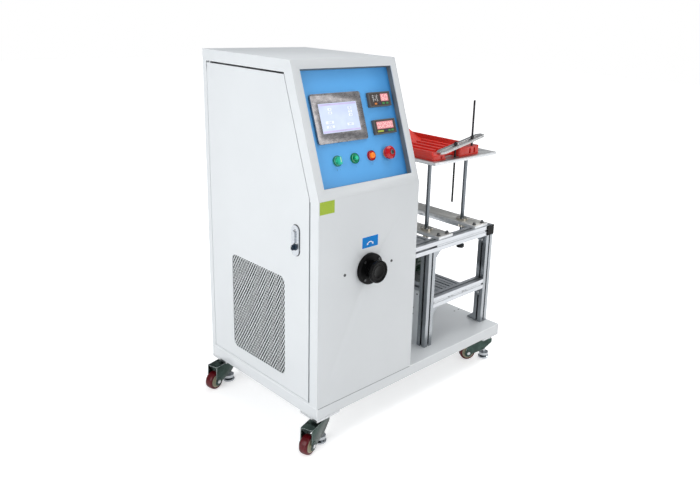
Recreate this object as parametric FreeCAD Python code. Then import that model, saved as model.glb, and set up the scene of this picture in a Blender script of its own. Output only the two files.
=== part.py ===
import FreeCAD, Part
import math
import os

# Cord flexing tester: a cabinet with its controls and a lifting table, on a base with levelling casters.
# Millimetres. X runs right along the front, Y runs to the rear, Z is up and the floor is Z = 0.
# The model is made from the cabinet's left face and front face, then moved to the centre of its own
# outline on the floor.

Vec = FreeCAD.Vector

# Running clearances
shaft_clearance = 0.05
moving_gap = 0.3
door_gap = 3.0
door_rear_gap = 4.0
door_top_gap = 6.0
shaft_hole_gap = 0.4

# Base
base_length = 978.0
base_depth = 616.0
base_height = 40.0
base_underside = 110.0
base_sheet = 2.5

# Cabinet
cabinet_width = 438.0
cabinet_height = 1095.0
fold_height = 693.0
top_setback = 138.5
cabinet_sheet = 2.0

# Side door, in the cabinet's left face
door_border_front = 42.0
door_border_rear = 21.0
door_border_top = 38.0
door_border_bottom = 8.0
door_depth = 18.0
door_rim = 16.0
window_length = 300.0
window_height = 350.0
window_front = 168.0
window_bottom = 206.0
window_corner = 22.0
hinge_pin_radius = 4.0
hinge_pin_length = 14.0
hinge_inset = 8.0
hinge_wall = 4.0
mesh_sheet = 1.5
mesh_overlap = 8.0
mesh_slot_length = 48.0
mesh_slot_height = 10.0
mesh_pitch_y = 60.0
mesh_pitch_z = 26.0
mesh_rows = 12

# Door latch
latch_width = 36.0
latch_height = 100.0
latch_proud = 5.0
latch_y = 108.0
latch_z = 698.0
key_drop = 21.0
key_radius = 8.0
key_proud = 2.0
key_bow_reach = 12.0
key_bow_height = 15.0
key_bow_sheet = 3.0
cam_length = 76.0
cam_width = 14.0
cam_sheet = 3.0
cam_standoff = 3.3

# Control panel on the slope. Across is X; along is measured up the slope from the fold.
# A share is how far up the panel the middle of a piece stands.
panel_left = 29.0
panel_right = 411.0
panel_low = 34.0
panel_top_border = 28.2
panel_recess = 22.0
panel_sheet = 2.0
screen_width = 204.0
screen_height = 154.0
screen_proud = 8.0
screen_depth = 38.0
screen_corner = 8.0
screen_flange = 6.0
screen_across = 158.8
screen_share = 0.583
glass_width = 155.0
glass_height = 92.0
glass_sheet = 1.2
counter_width = 96.0
counter_height = 48.0
counter_proud = 12.0
counter_depth = 62.0
counter_flange = 2.5
counter_lip = 4.0
counter_window_drop = 1.2
counter_across = 340.9
counter_share = 0.458
counter_pitch = 90.1

# Switches in a row under the screen
switch_share = 0.218
switch_first_across = 118.0
switch_pitch = 72.5
switch_count = 4
bezel_radius = 16.5
bezel_height = 5.0
barrel_radius = 11.0
barrel_length = 24.0
bore_depth = 15.0
block_size = 26.0
block_length = 30.0
cap_radius = 9.0
cap_height = 8.0
cap_travel = 4.0
cap_edge = 1.5
grip_width = 7.0
grip_length = 24.0
grip_height = 14.0
stop_radius = 21.5
stop_height = 16.0
stop_dome = 7.0

# Hand knob on the front, and the drive behind it
knob_x = 213.0
knob_z = 586.0
flange_radius = 52.5
flange_height = 14.0
flange_edge = 3.0
knob_radius = 38.0
knob_neck_radius = 30.0
knob_reach = 50.0
knob_rim = 17.0
knob_edge = 5.0
knob_shaft_radius = 10.0
knob_shaft_depth = 90.0
drive_size = 110.0
drive_face = 46.0
drive_corner = 12.0
gearbox_length = 84.0
motor_radius = 48.0
motor_length = 150.0
stand_width = 160.0
stand_plate = 8.0
stand_foot = 110.0
stand_window = 90.0
stand_rib = 20.0

# Control gear on its mounting plate, just inside the rear cover
plate_left = 40.0
plate_right = 400.0
plate_low = 240.0
plate_high = 1120.0
plate_sheet = 3.0
plate_standoff = 15.0
spacer_size = 16.0
spacer_inset = 20.0
rail_height = 35.0
rail_depth = 7.5
rail_sheet = 1.5
rail_lip = 5.0
rail_inset = 15.0
terminal_rail_z = 500.0
rail_pitch = 220.0
supply_width = 110.0
supply_depth = 70.0
supply_height = 125.0
controller_width = 170.0
controller_depth = 62.0
controller_height = 110.0
contactor_width = 45.0
contactor_depth = 80.0
contactor_height = 76.0
terminal_width = 22.0
terminal_depth = 40.0
terminal_height = 48.0
unit_step = 0.3
contactor_count = 4
contactor_pitch = 56.0
terminal_count = 9
terminal_pitch = 24.0
supply_inset = 65.0
controller_inset = 98.0

# Vents and power inlet in the rear cover
vent_width = 70.0
vent_height = 6.0
vent_pitch = 22.0
vent_rows = 5
vent_low_z = 300.0
vent_high_z = 1040.0
inlet_x = 70.0
inlet_z = 215.0
inlet_width = 27.0
inlet_height = 20.0
inlet_flange_width = 50.0
inlet_flange_height = 26.0
inlet_proud = 3.0
inlet_depth = 28.0
inlet_wall = 3.0
inlet_blade = 2.0
inlet_blade_height = 4.0
inlet_blade_pitch = 7.0

# Slotted profile frame
bar = 40.0
slot_mouth = 8.2
slot_lip = 4.5
slot_inner = 18.0
slot_depth = 12.0
slot_floor = 9.0
frame_left = 580.0
frame_right = 968.0
frame_front = 60.0
post_height = 384.0
lower_rail_z = 305.0
shelf_first_x = 717.0
shelf_pitch = 43.5
shelf_count = 3
bracket_leg = 34.0
bracket_width = 30.0
bracket_sheet = 4.0
cap_sheet = 4.0
side_sheet = 2.0
side_sheet_top = 372.0

# Bearing plates, bearings and guide shafts
shaft_left_x = 674.0
shaft_right_x = 891.0
shaft_front_y = 163.0
shaft_radius = 8.0
shaft_low = 478.0
plate_width = 80.0
plate_end_gap = 3.0
bearing_plate_sheet = 12.0
bearing_flange_radius = 24.0
bearing_flange = 6.0
bearing_radius = 14.0
bearing_length = 31.0
stop_disc_radius = 16.0
stop_disc_height = 12.0

# Table
table_left = 599.0
table_right = 966.0
table_front = 72.0
table_sheet = 12.0
table_top = 872.0

# Lifting drive on the shelf rails
screw_x = 737.0
screw_y = 340.0
screw_radius = 12.0
screw_foot = 20.0
screw_top = 745.0
lift_box_width = 75.0
lift_box_depth = 90.0
lift_box_height = 110.0
lift_motor_radius = 50.0
lift_motor_length = 95.0
lift_fin_height = 5.0
lift_fin_sheet = 3.0
lift_fin_count = 12
lift_fin_start = 6.0
lift_fin_end = 14.0
tube_wall = 8.0
tube_low = 560.0
tube_flange_radius = 36.0
tube_flange = 8.0

# Red cradle on the table
cradle_left = 613.0
cradle_right = 880.0
cradle_front = 93.0
cradle_rear = 528.0
cradle_height = 33.0
cradle_floor = 5.0
cradle_wall = 9.0
cradle_corner = 10.0
block_corner = 9.0
mouth_left = 681.0
mouth_right = 762.0
block_rear = 138.0
left_block_drop = 12.0
recess_left_x = 656.0
recess_middle_x = 822.0
recess_right_x = 849.0
recess_width = 10.0
recess_depth = 6.0
recess_lip = 6.0
rib_width = 13.0
rib_height = 21.0
rib_pitch = 45.0
rib_first_x = 658.0
rib_count = 5
rib_front = 168.0
rib_end = 292.0
rib_end_slope = 0.33
ramp_front = 330.0
ramp_height = 69.0
ramp_hollow = 0.3

# Strap clamp
stud_x = 743.6
stud_y = 101.6
stud_radius = 4.0
stud_low = 697.0
nut_radius = 7.5
nut_height = 7.0
strap_sheet = 7.0
strap_width = 42.0
strap_left_reach = 95.0
strap_right_reach = 164.0
strap_tilt = 10.0
strap_seat = 38.0
strap_slot = 8.6
strap_slot_left = 78.0
strap_slot_right = 130.0
strap_bevel = 16.0
stud_end = 12.0
heel_reach = 98.0
heel_top = 207.0

# Levelling casters
caster_inset_x = 43.0
caster_inset_y = 35.0
caster_pad_length = 98.0
caster_pad_depth = 86.0
caster_pad = 8.0
race_radius = 22.0
race_height = 9.0
sleeve_radius = 10.0
keeper_height = 3.0
keeper_radius = 14.0
fork_sheet = 3.0
fork_width = 45.0
fork_tail = 24.0
fork_nose = 8.0
fork_tail_drop = 17.0
fork_waist_x = 10.0
fork_waist_z = 45.0
cheek_nose_radius = 11.0
wheel_offset = 76.0
wheel_radius = 33.0
wheel_width = 30.0
hub_boss_radius = 9.0
axle_radius = 4.0
axle_head_radius = 7.0
axle_head = 4.0
foot_radius = 22.0
foot_rim = 6.0
foot_cone_top = 13.0
thumb_radius = 20.0
thumb_low = 14.0
thumb_height = 10.0
thumb_sides = 12
stem_radius = 7.0
stem_top = 128.0
front_left_turn = 199.0
rear_left_turn = 194.0
front_right_turn = 149.0
rear_right_turn = 150.0

# Heights and lines worked out from the sizes above
base_top = base_underside + base_height
cabinet_top = base_top + cabinet_height
fold_z = base_top + fold_height
slant_rise = cabinet_top - fold_z
slant_length = math.hypot(top_setback, slant_rise)
panel_high = slant_length - panel_top_border
panel_span = panel_high - panel_low
screen_along = panel_low + screen_share * panel_span
counter_along = panel_low + counter_share * panel_span
switch_along = panel_low + switch_share * panel_span
inner_left = cabinet_sheet
inner_right = cabinet_width - cabinet_sheet
opening_top = cabinet_top - door_border_top
opening_low = base_top + door_border_bottom
opening_rear = base_depth - door_border_rear
door_low = opening_low + door_gap
door_high = opening_top - door_top_gap
hinge_y = opening_rear - door_rear_gap - hinge_inset
key_z = latch_z - key_drop
cam_x = door_rim + cam_standoff
panel_face = -panel_recess
panel_back = panel_face - panel_sheet
bezel_top = panel_face + bezel_height
cap_seat = bezel_top - bore_depth + cap_travel + moving_gap
switch_across = [switch_first_across + i * switch_pitch for i in range(switch_count)]
counter_centres = [counter_along, counter_along + counter_pitch]
gear_back = base_depth - cabinet_sheet - plate_standoff - plate_sheet
rail_face = gear_back - rail_depth
supply_size = Vec(supply_width, supply_depth, supply_height)
controller_size = Vec(controller_width, controller_depth, controller_height)
contactor_size = Vec(contactor_width, contactor_depth, contactor_height)
terminal_size = Vec(terminal_width, terminal_depth, terminal_height)
half_bar = bar / 2
frame_back = base_depth - frame_front
upper_rail_z = base_top + post_height
upper_rail_top = upper_rail_z + bar
upper_mid = upper_rail_z + half_bar
lower_mid = lower_rail_z + half_bar
post_x = (frame_left + half_bar, frame_right - half_bar)
rail_y = (frame_front + half_bar, frame_back - half_bar)
between_rails = rail_y[1] - rail_y[0] - bar
shaft_centres = [Vec(x, y, 0) for x in (shaft_left_x, shaft_right_x)
                 for y in (shaft_front_y, base_depth - shaft_front_y)]
bearing_plate_top = upper_rail_top + bearing_plate_sheet
table_rear = base_depth - table_front
table_under = table_top - table_sheet
lift_base = lower_rail_z + bar
lift_box_top = lift_base + lift_box_height
screw_low = lift_base + screw_foot
cradle_top = table_top + cradle_height
strap_z = table_top + strap_seat
strap_skin = strap_sheet / math.cos(math.radians(strap_tilt))
nut_room = nut_radius * math.tan(math.radians(strap_tilt)) + moving_gap
heel_x = stud_x + heel_reach
pad_low = base_underside - caster_pad
race_low = pad_low - race_height
fork_top = race_low - moving_gap
fork_under = fork_top - fork_sheet
keeper_top = fork_under - moving_gap
keeper_low = keeper_top - keeper_height
caster_corners = {
    "front_left": (0, 0, front_left_turn),
    "rear_left": (0, 1, rear_left_turn),
    "front_right": (1, 0, front_right_turn),
    "rear_right": (1, 1, rear_right_turn),
}


# Shape helpers

def block(x0, x1, y0, y1, z0, z1):
    return Part.makeBox(x1 - x0, y1 - y0, z1 - z0, Vec(x0, y0, z0))


def rod(radius, start, end):
    path = end - start
    return Part.makeCylinder(radius, path.Length, start, path)


def prism(points, sweep):
    return Part.Face(Part.makePolygon(points + [points[0]])).extrude(sweep)


def side_profile(points, x0, x1):
    """Extrude an outline of (y, z) points from x0 to x1."""
    return prism([Vec(x0, y, z) for y, z in points], Vec(x1 - x0, 0, 0))


def turned(points, centre, axis):
    """Revolve an outline of (radius, height) points about an axis through centre."""
    outline = [Vec(radius, 0, height) for radius, height in points]
    solid = Part.Face(Part.makePolygon(outline + [outline[0]])).revolve(Vec(), Vec(0, 0, 1), 360)
    solid.Placement = FreeCAD.Placement(centre, FreeCAD.Rotation(Vec(0, 0, 1), axis))
    return solid


def rounded(solid, direction, radius):
    """Round the solid's edges that run along a direction."""
    edges = [e for e in solid.Edges if abs(e.tangentAt(e.FirstParameter).dot(direction)) > 0.99]
    return solid.makeFillet(radius, edges)


def group(solids):
    return Part.makeCompound(solids)


def joined(first, *others):
    return first.fuse(list(others)).removeSplitter()


X_DIR = Vec(1, 0, 0)
Y_DIR = Vec(0, 1, 0)
Z_DIR = Vec(0, 0, 1)


# Base tray, folded from sheet and open below

def base_tray():
    tray = block(0, base_length, 0, base_depth, base_underside, base_top)
    hollow = block(base_sheet, base_length - base_sheet, base_sheet, base_depth - base_sheet,
                   base_underside, base_top - base_sheet)
    return tray.cut(hollow)


# Caster pads. A swivel race hangs from each one, and its sleeve and keeper hold the fork.

def caster_centre(corner):
    right, rear, _ = caster_corners[corner]
    x = base_length - caster_inset_x if right else caster_inset_x
    y = base_depth - caster_inset_y if rear else caster_inset_y
    return Vec(x, y, 0)


def caster_pad_with_race(corner):
    right, rear, _ = caster_corners[corner]
    x0 = base_length - caster_pad_length if right else 0
    y0 = base_depth - caster_pad_depth if rear else 0
    pad = block(x0, x0 + caster_pad_length, y0, y0 + caster_pad_depth, pad_low, base_underside)
    centre = caster_centre(corner)
    race = turned([(0, keeper_low), (keeper_radius, keeper_low), (keeper_radius, keeper_top),
                   (sleeve_radius, keeper_top), (sleeve_radius, race_low), (race_radius, race_low),
                   (race_radius, pad_low), (0, pad_low)], centre, Z_DIR)
    bore = rod(stem_radius + shaft_clearance, centre + Z_DIR * keeper_low, centre + Z_DIR * base_underside)
    return joined(pad, race).cut(bore)


# Levelling casters, made at the swivel axis with the wheel towards +X, then turned and moved

def at_caster(shape, corner):
    place = FreeCAD.Placement(caster_centre(corner), FreeCAD.Rotation(Z_DIR, caster_corners[corner][2]))
    placed = shape.copy()
    placed.Placement = place.multiply(shape.Placement)
    return placed


def caster_fork():
    """Pressed channel: a roof and two cheeks that narrow to a round nose at the axle."""
    half = fork_width / 2
    nose = Vec(wheel_offset, -half, wheel_radius)
    front = Vec(wheel_offset + cheek_nose_radius, -half, wheel_radius)
    below = Vec(wheel_offset, -half, wheel_radius - cheek_nose_radius)
    turn = math.radians(45)
    between = nose + Vec(math.cos(turn), 0, -math.sin(turn)) * cheek_nose_radius
    corners = [below, Vec(fork_waist_x, -half, fork_waist_z),
               Vec(-fork_tail, -half, fork_top - fork_tail_drop), Vec(-fork_tail, -half, fork_top),
               Vec(wheel_offset + fork_nose, -half, fork_top), front]
    outline = Part.Wire([Part.Arc(front, between, below).toShape()] + Part.makePolygon(corners).Edges)
    solid = Part.Face(outline).extrude(Y_DIR * fork_width)
    reach = wheel_offset + cheek_nose_radius
    channel = block(-fork_tail, reach, -half + fork_sheet, half - fork_sheet, 0, fork_under)
    pivot = rod(sleeve_radius + shaft_clearance, Z_DIR * fork_under, Z_DIR * fork_top)
    return solid.cut([channel, pivot])


def caster_axle():
    """Axle bolt through both cheeks, with a hexagon at each end."""
    half = fork_width / 2
    centre = Vec(wheel_offset, 0, wheel_radius)
    shank = rod(axle_radius, centre - Y_DIR * half, centre + Y_DIR * half)
    heads = []
    for face in (-half - axle_head, half):
        corners = [centre + Vec(math.cos(math.radians(60 * i)), 0, math.sin(math.radians(60 * i)))
                   * axle_head_radius + Y_DIR * face for i in range(6)]
        heads.append(prism(corners, Y_DIR * axle_head))
    return joined(shank, *heads)


def caster_wheel():
    """Wheel with a boss on each side that keeps it between the cheeks."""
    half = wheel_width / 2
    reach = fork_width / 2 - fork_sheet - moving_gap
    bore = axle_radius + shaft_clearance
    return turned([(bore, -reach), (hub_boss_radius, -reach), (hub_boss_radius, -half),
                   (wheel_radius, -half), (wheel_radius, half), (hub_boss_radius, half),
                   (hub_boss_radius, reach), (bore, reach)], Vec(wheel_offset, 0, wheel_radius), Y_DIR)


def levelling_foot():
    """Sole, threaded stem and the thumb wheel that screws the foot up and down."""
    body = turned([(0, 0), (foot_radius, 0), (foot_radius, foot_rim), (stem_radius, foot_cone_top),
                   (stem_radius, stem_top), (0, stem_top)], Vec(), Z_DIR)
    step = math.radians(360 / thumb_sides)
    corners = [Vec(math.cos(i * step), math.sin(i * step), 0) * thumb_radius + Z_DIR * thumb_low
               for i in range(thumb_sides)]
    return joined(body, prism(corners, Z_DIR * thumb_height))


# Cabinet side frame: the left skin round the door opening, its rim and the two hinge pins

def slope_y(z):
    return max(0.0, (z - fold_z) * top_setback / slant_rise)


def cabinet_outline():
    return [(0, base_top), (0, fold_z), (top_setback, cabinet_top), (base_depth, cabinet_top),
            (base_depth, base_top)]


def door_outline(gap, top_gap, rear_gap):
    """The door opening as (y, z) points, made smaller by a gap at each side."""
    front = door_border_front + gap
    top = opening_top - top_gap
    rear = opening_rear - rear_gap
    low = opening_low + gap
    return [(front, low), (front, fold_z), (slope_y(top) + front, top), (rear, top), (rear, low)]


def hinge_pin(z0, z1):
    return rod(hinge_pin_radius, Vec(hinge_inset, hinge_y, z0), Vec(hinge_inset, hinge_y, z1))


def side_frame():
    skin = side_profile(cabinet_outline(), 0, cabinet_sheet)
    rim = side_profile(door_outline(-cabinet_sheet, -cabinet_sheet, -cabinet_sheet), cabinet_sheet, door_rim)
    frame = joined(skin, rim).cut(side_profile(door_outline(0, 0, 0), 0, door_rim))
    low_pin = hinge_pin(opening_low, door_low + hinge_pin_length)
    high_pin = hinge_pin(door_high - hinge_pin_length, opening_top)
    return joined(frame, low_pin, high_pin)


def right_side():
    return side_profile(cabinet_outline(), inner_right, cabinet_width)


def top_cover():
    return block(inner_left, inner_right, top_setback, base_depth, cabinet_top - cabinet_sheet, cabinet_top)


def front_cover():
    cover = block(inner_left, inner_right, 0, cabinet_sheet, base_top, fold_z)
    return cover.cut(rod(knob_shaft_radius + shaft_hole_gap, Vec(knob_x, 0, knob_z),
                         Vec(knob_x, cabinet_sheet, knob_z)))


# Pieces on the slope are made flat, with X across, Y up the slope and Z out of it

def on_slope(shape):
    up = Vec(0, top_setback, slant_rise)
    out = Vec(0, -slant_rise, top_setback)
    slope = FreeCAD.Placement(Vec(0, 0, fold_z), FreeCAD.Rotation(X_DIR, up, out, "ZXY"))
    placed = shape.copy()
    placed.Placement = slope.multiply(shape.Placement)
    return placed


def panel_block(margin, z0, z1):
    return block(panel_left - margin, panel_right + margin, panel_low - margin, panel_high + margin, z0, z1)


def slant_frame():
    """Sloping bezel: sheet round the window, with a deep flange that the panel closes."""
    plate = block(inner_left, inner_right, 0, slant_length, -cabinet_sheet, 0)
    flange = panel_block(cabinet_sheet, panel_face, -cabinet_sheet)
    bezel = joined(plate, flange).cut(panel_block(0, panel_face, 0))
    return on_slope(bezel).cut([top_cover(), front_cover()])


def panel_cutout(across, along, width, height):
    return block(across - width / 2, across + width / 2, along - height / 2, along + height / 2,
                 panel_back, panel_face)


def control_panel():
    cuts = [panel_cutout(screen_across, screen_along, screen_width - 2 * screen_flange,
                         screen_height - 2 * screen_flange)]
    for along in counter_centres:
        cuts.append(panel_cutout(counter_across, along, counter_width - 2 * counter_flange,
                                 counter_height - 2 * counter_flange))
    for across in switch_across:
        cuts.append(rod(barrel_radius, Vec(across, switch_along, panel_back),
                        Vec(across, switch_along, panel_face)))
    return on_slope(panel_block(cabinet_sheet, panel_back, panel_face).cut(cuts))


def instrument(across, along, width, height, proud, depth, flange):
    """Front bezel on the panel, and the narrower body behind it."""
    x0, x1 = across - width / 2, across + width / 2
    y0, y1 = along - height / 2, along + height / 2
    bezel = block(x0, x1, y0, y1, panel_face, panel_face + proud)
    body = block(x0 + flange, x1 - flange, y0 + flange, y1 - flange, panel_face - depth, panel_face)
    return bezel, body


def screen_glass_flat():
    x0, x1 = screen_across - glass_width / 2, screen_across + glass_width / 2
    y0, y1 = screen_along - glass_height / 2, screen_along + glass_height / 2
    top = panel_face + screen_proud
    return block(x0, x1, y0, y1, top - glass_sheet, top)


def touch_screen_housing():
    bezel, body = instrument(screen_across, screen_along, screen_width, screen_height, screen_proud,
                             screen_depth, screen_flange)
    return on_slope(joined(rounded(bezel, Z_DIR, screen_corner), body).cut(screen_glass_flat()))


def counter(along):
    bezel, body = instrument(counter_across, along, counter_width, counter_height, counter_proud,
                             counter_depth, counter_flange)
    top = panel_face + counter_proud
    half_w, half_h = counter_width / 2 - counter_lip, counter_height / 2 - counter_lip
    well = block(counter_across - half_w, counter_across + half_w, along - half_h, along + half_h,
                 top - counter_window_drop, top)
    return on_slope(joined(bezel, body).cut(well))


# Switches: a bezel, a barrel through the panel and a contact block, bored for the part that moves

def switch_body(across):
    centre = Vec(across, switch_along, 0)
    block_top = panel_back - barrel_length
    outside = turned([(0, block_top), (barrel_radius, block_top), (barrel_radius, panel_face),
                      (bezel_radius, panel_face), (bezel_radius, bezel_top), (0, bezel_top)], centre, Z_DIR)
    half = block_size / 2
    contact = block(across - half, across + half, switch_along - half, switch_along + half,
                    block_top - block_length, block_top)
    bore_floor = centre + Z_DIR * (bezel_top - bore_depth)
    bore = rod(cap_radius + moving_gap, bore_floor, centre + Z_DIR * bezel_top)
    return on_slope(joined(outside, contact).cut(bore))


def push_cap(across):
    top = bezel_top + cap_height
    return on_slope(turned([(0, cap_seat), (cap_radius, cap_seat), (cap_radius, top - cap_edge),
                            (cap_radius - cap_edge, top), (0, top)], Vec(across, switch_along, 0), Z_DIR))


def stop_button(across):
    """Mushroom head on a stem that slides in the switch."""
    under = bezel_top + cap_travel + moving_gap
    top = under + stop_height
    return on_slope(turned([(0, cap_seat), (cap_radius, cap_seat), (cap_radius, under), (stop_radius, under),
                            (stop_radius, top - stop_dome), (stop_radius - stop_dome, top), (0, top)],
                           Vec(across, switch_along, 0), Z_DIR))


def selector_knob(across):
    centre = Vec(across, switch_along, 0)
    top = bezel_top + cap_edge
    disc = rod(cap_radius, centre + Z_DIR * cap_seat, centre + Z_DIR * top)
    grip = block(across - grip_width / 2, across + grip_width / 2, switch_along - grip_length / 2,
                 switch_along + grip_length / 2, top, top + grip_height)
    return on_slope(joined(disc, rounded(grip, Z_DIR, grip_width / 3)))


# Rear cover with its vents, and the power inlet

def rear_cover():
    y0 = base_depth - cabinet_sheet
    cover = block(inner_left, inner_right, y0, base_depth, base_top, cabinet_top - cabinet_sheet)
    cuts = [block(inlet_x - inlet_width / 2, inlet_x + inlet_width / 2, y0, base_depth,
                  inlet_z - inlet_height / 2, inlet_z + inlet_height / 2)]
    for low in (vent_low_z, vent_high_z):
        for row in range(vent_rows):
            z = low + row * vent_pitch
            for middle in (cabinet_width / 2 - vent_width, cabinet_width / 2 + vent_width):
                cuts.append(block(middle - vent_width / 2, middle + vent_width / 2, y0, base_depth,
                                  z, z + vent_height))
    return cover.cut(cuts)


def inlet_block(width, height, y0, y1):
    return block(inlet_x - width / 2, inlet_x + width / 2, y0, y1,
                 inlet_z - height / 2, inlet_z + height / 2)


def power_inlet():
    """Three-blade inlet: flange outside the cover, open socket inside."""
    face = base_depth + inlet_proud
    floor = base_depth - inlet_depth + inlet_wall
    flange = inlet_block(inlet_flange_width, inlet_flange_height, base_depth, face)
    body = inlet_block(inlet_width, inlet_height, base_depth - inlet_depth, base_depth)
    socket = inlet_block(inlet_width - 2 * inlet_wall, inlet_height - 2 * inlet_wall, floor, face)
    blades = []
    for i in (-1, 0, 1):
        x = inlet_x + i * inlet_blade_pitch
        blades.append(block(x - inlet_blade / 2, x + inlet_blade / 2, floor, base_depth,
                            inlet_z - inlet_blade_height / 2, inlet_z + inlet_blade_height / 2))
    return joined(joined(flange, body).cut(socket), *blades)


# Side door: a pan with its edges folded inward, hung on the two pins

def hinge_boss(z0, z1):
    reach = hinge_pin_radius + hinge_wall
    return block(cabinet_sheet, hinge_inset + reach, hinge_y - reach,
                 opening_rear - door_rear_gap - cabinet_sheet, z0, z1)


def door_sheet():
    pan = side_profile(door_outline(door_gap, door_top_gap, door_rear_gap), 0, door_depth)
    hollow = side_profile(door_outline(door_gap + cabinet_sheet, door_top_gap + cabinet_sheet,
                                       door_rear_gap + cabinet_sheet), cabinet_sheet, door_depth)
    window = block(0, cabinet_sheet, window_front, window_front + window_length, window_bottom,
                   window_bottom + window_height)
    key_hole = rod(key_radius + moving_gap, Vec(0, latch_y, key_z), Vec(cabinet_sheet, latch_y, key_z))
    low_boss = hinge_boss(door_low + cabinet_sheet, door_low + hinge_pin_length)
    high_boss = hinge_boss(door_high - hinge_pin_length, door_high - cabinet_sheet)
    pin_hole = rod(hinge_pin_radius + shaft_clearance, Vec(hinge_inset, hinge_y, door_low),
                   Vec(hinge_inset, hinge_y, door_high))
    door = joined(pan.cut(hollow), low_boss, high_boss)
    return door.cut([rounded(window, X_DIR, window_corner), key_hole, pin_hole])


def door_mesh():
    """Pierced sheet behind the door's window, its slots staggered from row to row."""
    x0 = cabinet_sheet
    x1 = x0 + mesh_sheet
    sheet = block(x0, x1, window_front - mesh_overlap, window_front + window_length + mesh_overlap,
                  window_bottom - mesh_overlap, window_bottom + window_height + mesh_overlap)
    middle_y = window_front + window_length / 2
    middle_z = window_bottom + window_height / 2
    slots = []
    for row in range(mesh_rows):
        z = middle_z + (row - (mesh_rows - 1) / 2) * mesh_pitch_z
        columns = int(window_length // mesh_pitch_y) - row % 2
        for column in range(columns):
            y = middle_y + (column - (columns - 1) / 2) * mesh_pitch_y
            slots.append(block(x0, x1, y - mesh_slot_length / 2, y + mesh_slot_length / 2,
                               z - mesh_slot_height / 2, z + mesh_slot_height / 2))
    return sheet.cut(slots)


# Latch: a round-ended plate on the door, and the plug with its key and cam

def latch_plate():
    half = latch_width / 2
    low = latch_z - latch_height / 2 + half
    high = latch_z + latch_height / 2 - half
    plate = block(-latch_proud, 0, latch_y - half, latch_y + half, low, high)
    ends = [rod(half, Vec(-latch_proud, latch_y, z), Vec(0, latch_y, z)) for z in (low, high)]
    hole = rod(key_radius + moving_gap, Vec(-latch_proud, latch_y, key_z), Vec(0, latch_y, key_z))
    return joined(plate, *ends).cut(hole)


def latch_key():
    head = -latch_proud - key_proud
    plug = rod(key_radius, Vec(head, latch_y, key_z), Vec(cam_x, latch_y, key_z))
    half = cam_width / 2
    cam = block(cam_x, cam_x + cam_sheet, latch_y - half, latch_y + half, key_z - cam_length, key_z + half)
    bow = block(head - key_bow_reach, head, latch_y - key_bow_sheet / 2, latch_y + key_bow_sheet / 2,
                key_z - key_bow_height / 2, key_z + key_bow_height / 2)
    return joined(plug, cam, bow)


# Hand knob: a fixed flange, the knob that turns in front of it, and its shaft

def knob_flange():
    centre = Vec(knob_x, 0, knob_z)
    flange = turned([(0, 0), (flange_radius, 0), (flange_radius, flange_height - flange_edge),
                     (flange_radius - flange_edge, flange_height), (0, flange_height)], centre, -Y_DIR)
    return flange.cut(rod(knob_shaft_radius + shaft_hole_gap, centre - Y_DIR * flange_height, centre))


def hand_knob():
    centre = Vec(knob_x, 0, knob_z)
    low = flange_height + moving_gap
    rim = knob_reach - knob_rim
    knob = turned([(0, low), (knob_neck_radius, low), (knob_neck_radius, rim),
                   (knob_radius, rim + knob_edge), (knob_radius, knob_reach - knob_edge),
                   (knob_radius - knob_edge, knob_reach), (0, knob_reach)], centre, -Y_DIR)
    return knob.cut(rod(knob_shaft_radius, centre - Y_DIR * rim, centre - Y_DIR * low))


def knob_shaft():
    return rod(knob_shaft_radius, Vec(knob_x, knob_rim - knob_reach, knob_z),
               Vec(knob_x, knob_shaft_depth, knob_z))


# Gearmotor behind the knob, on a stand that rises from the base

def swing_drive():
    half = drive_size / 2
    back = drive_face + gearbox_length
    case = block(knob_x - half, knob_x + half, drive_face, back, knob_z - half, knob_z + half)
    motor = rod(motor_radius, Vec(knob_x, back, knob_z), Vec(knob_x, back + motor_length, knob_z))
    bore = rod(knob_shaft_radius + shaft_clearance, Vec(knob_x, drive_face, knob_z),
               Vec(knob_x, knob_shaft_depth + moving_gap, knob_z))
    return joined(rounded(case, Y_DIR, drive_corner), motor).cut(bore)


def drive_stand():
    """Upright plate with a foot, ribs and an opening, bolted to the base."""
    x0, x1 = knob_x - stand_width / 2, knob_x + stand_width / 2
    y0, y1 = drive_face - stand_plate, drive_face
    rib_top = knob_z - drive_size / 2 - stand_rib
    foot_top = base_top + stand_plate
    face = block(x0, x1, y0, y1, base_top, knob_z + drive_size / 2)
    foot = block(x0, x1, y1, y1 + stand_foot, base_top, foot_top)
    rib_outline = [(y1, foot_top), (y1 + stand_foot, foot_top), (y1 + stand_rib, rib_top), (y1, rib_top)]
    ribs = [side_profile(rib_outline, x, x + stand_plate) for x in (x0, x1 - stand_plate)]
    half = stand_window / 2
    opening = block(knob_x - half, knob_x + half, y0, y1,
                    foot_top + stand_window, rib_top - stand_window / 2)
    shaft_hole = rod(knob_shaft_radius + stand_plate / 2, Vec(knob_x, y0, knob_z), Vec(knob_x, y1, knob_z))
    return joined(face, foot, *ribs).cut([opening, shaft_hole])


# Mounting plate on four spacers, with three top-hat rails, and the control gear that clips on them

def top_hat_rail(z):
    half = rail_height / 2
    x0, x1 = plate_left + rail_inset, plate_right - rail_inset
    inner = half - rail_lip
    web = inner - rail_sheet
    lip_back = rail_face + rail_sheet
    floor = gear_back - rail_sheet
    outline = [(gear_back, z - inner), (gear_back, z + inner), (lip_back, z + inner), (lip_back, z + half),
               (rail_face, z + half), (rail_face, z + web), (floor, z + web), (floor, z - web),
               (rail_face, z - web), (rail_face, z - half), (lip_back, z - half), (lip_back, z - inner)]
    return side_profile(outline, x0, x1)


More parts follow.
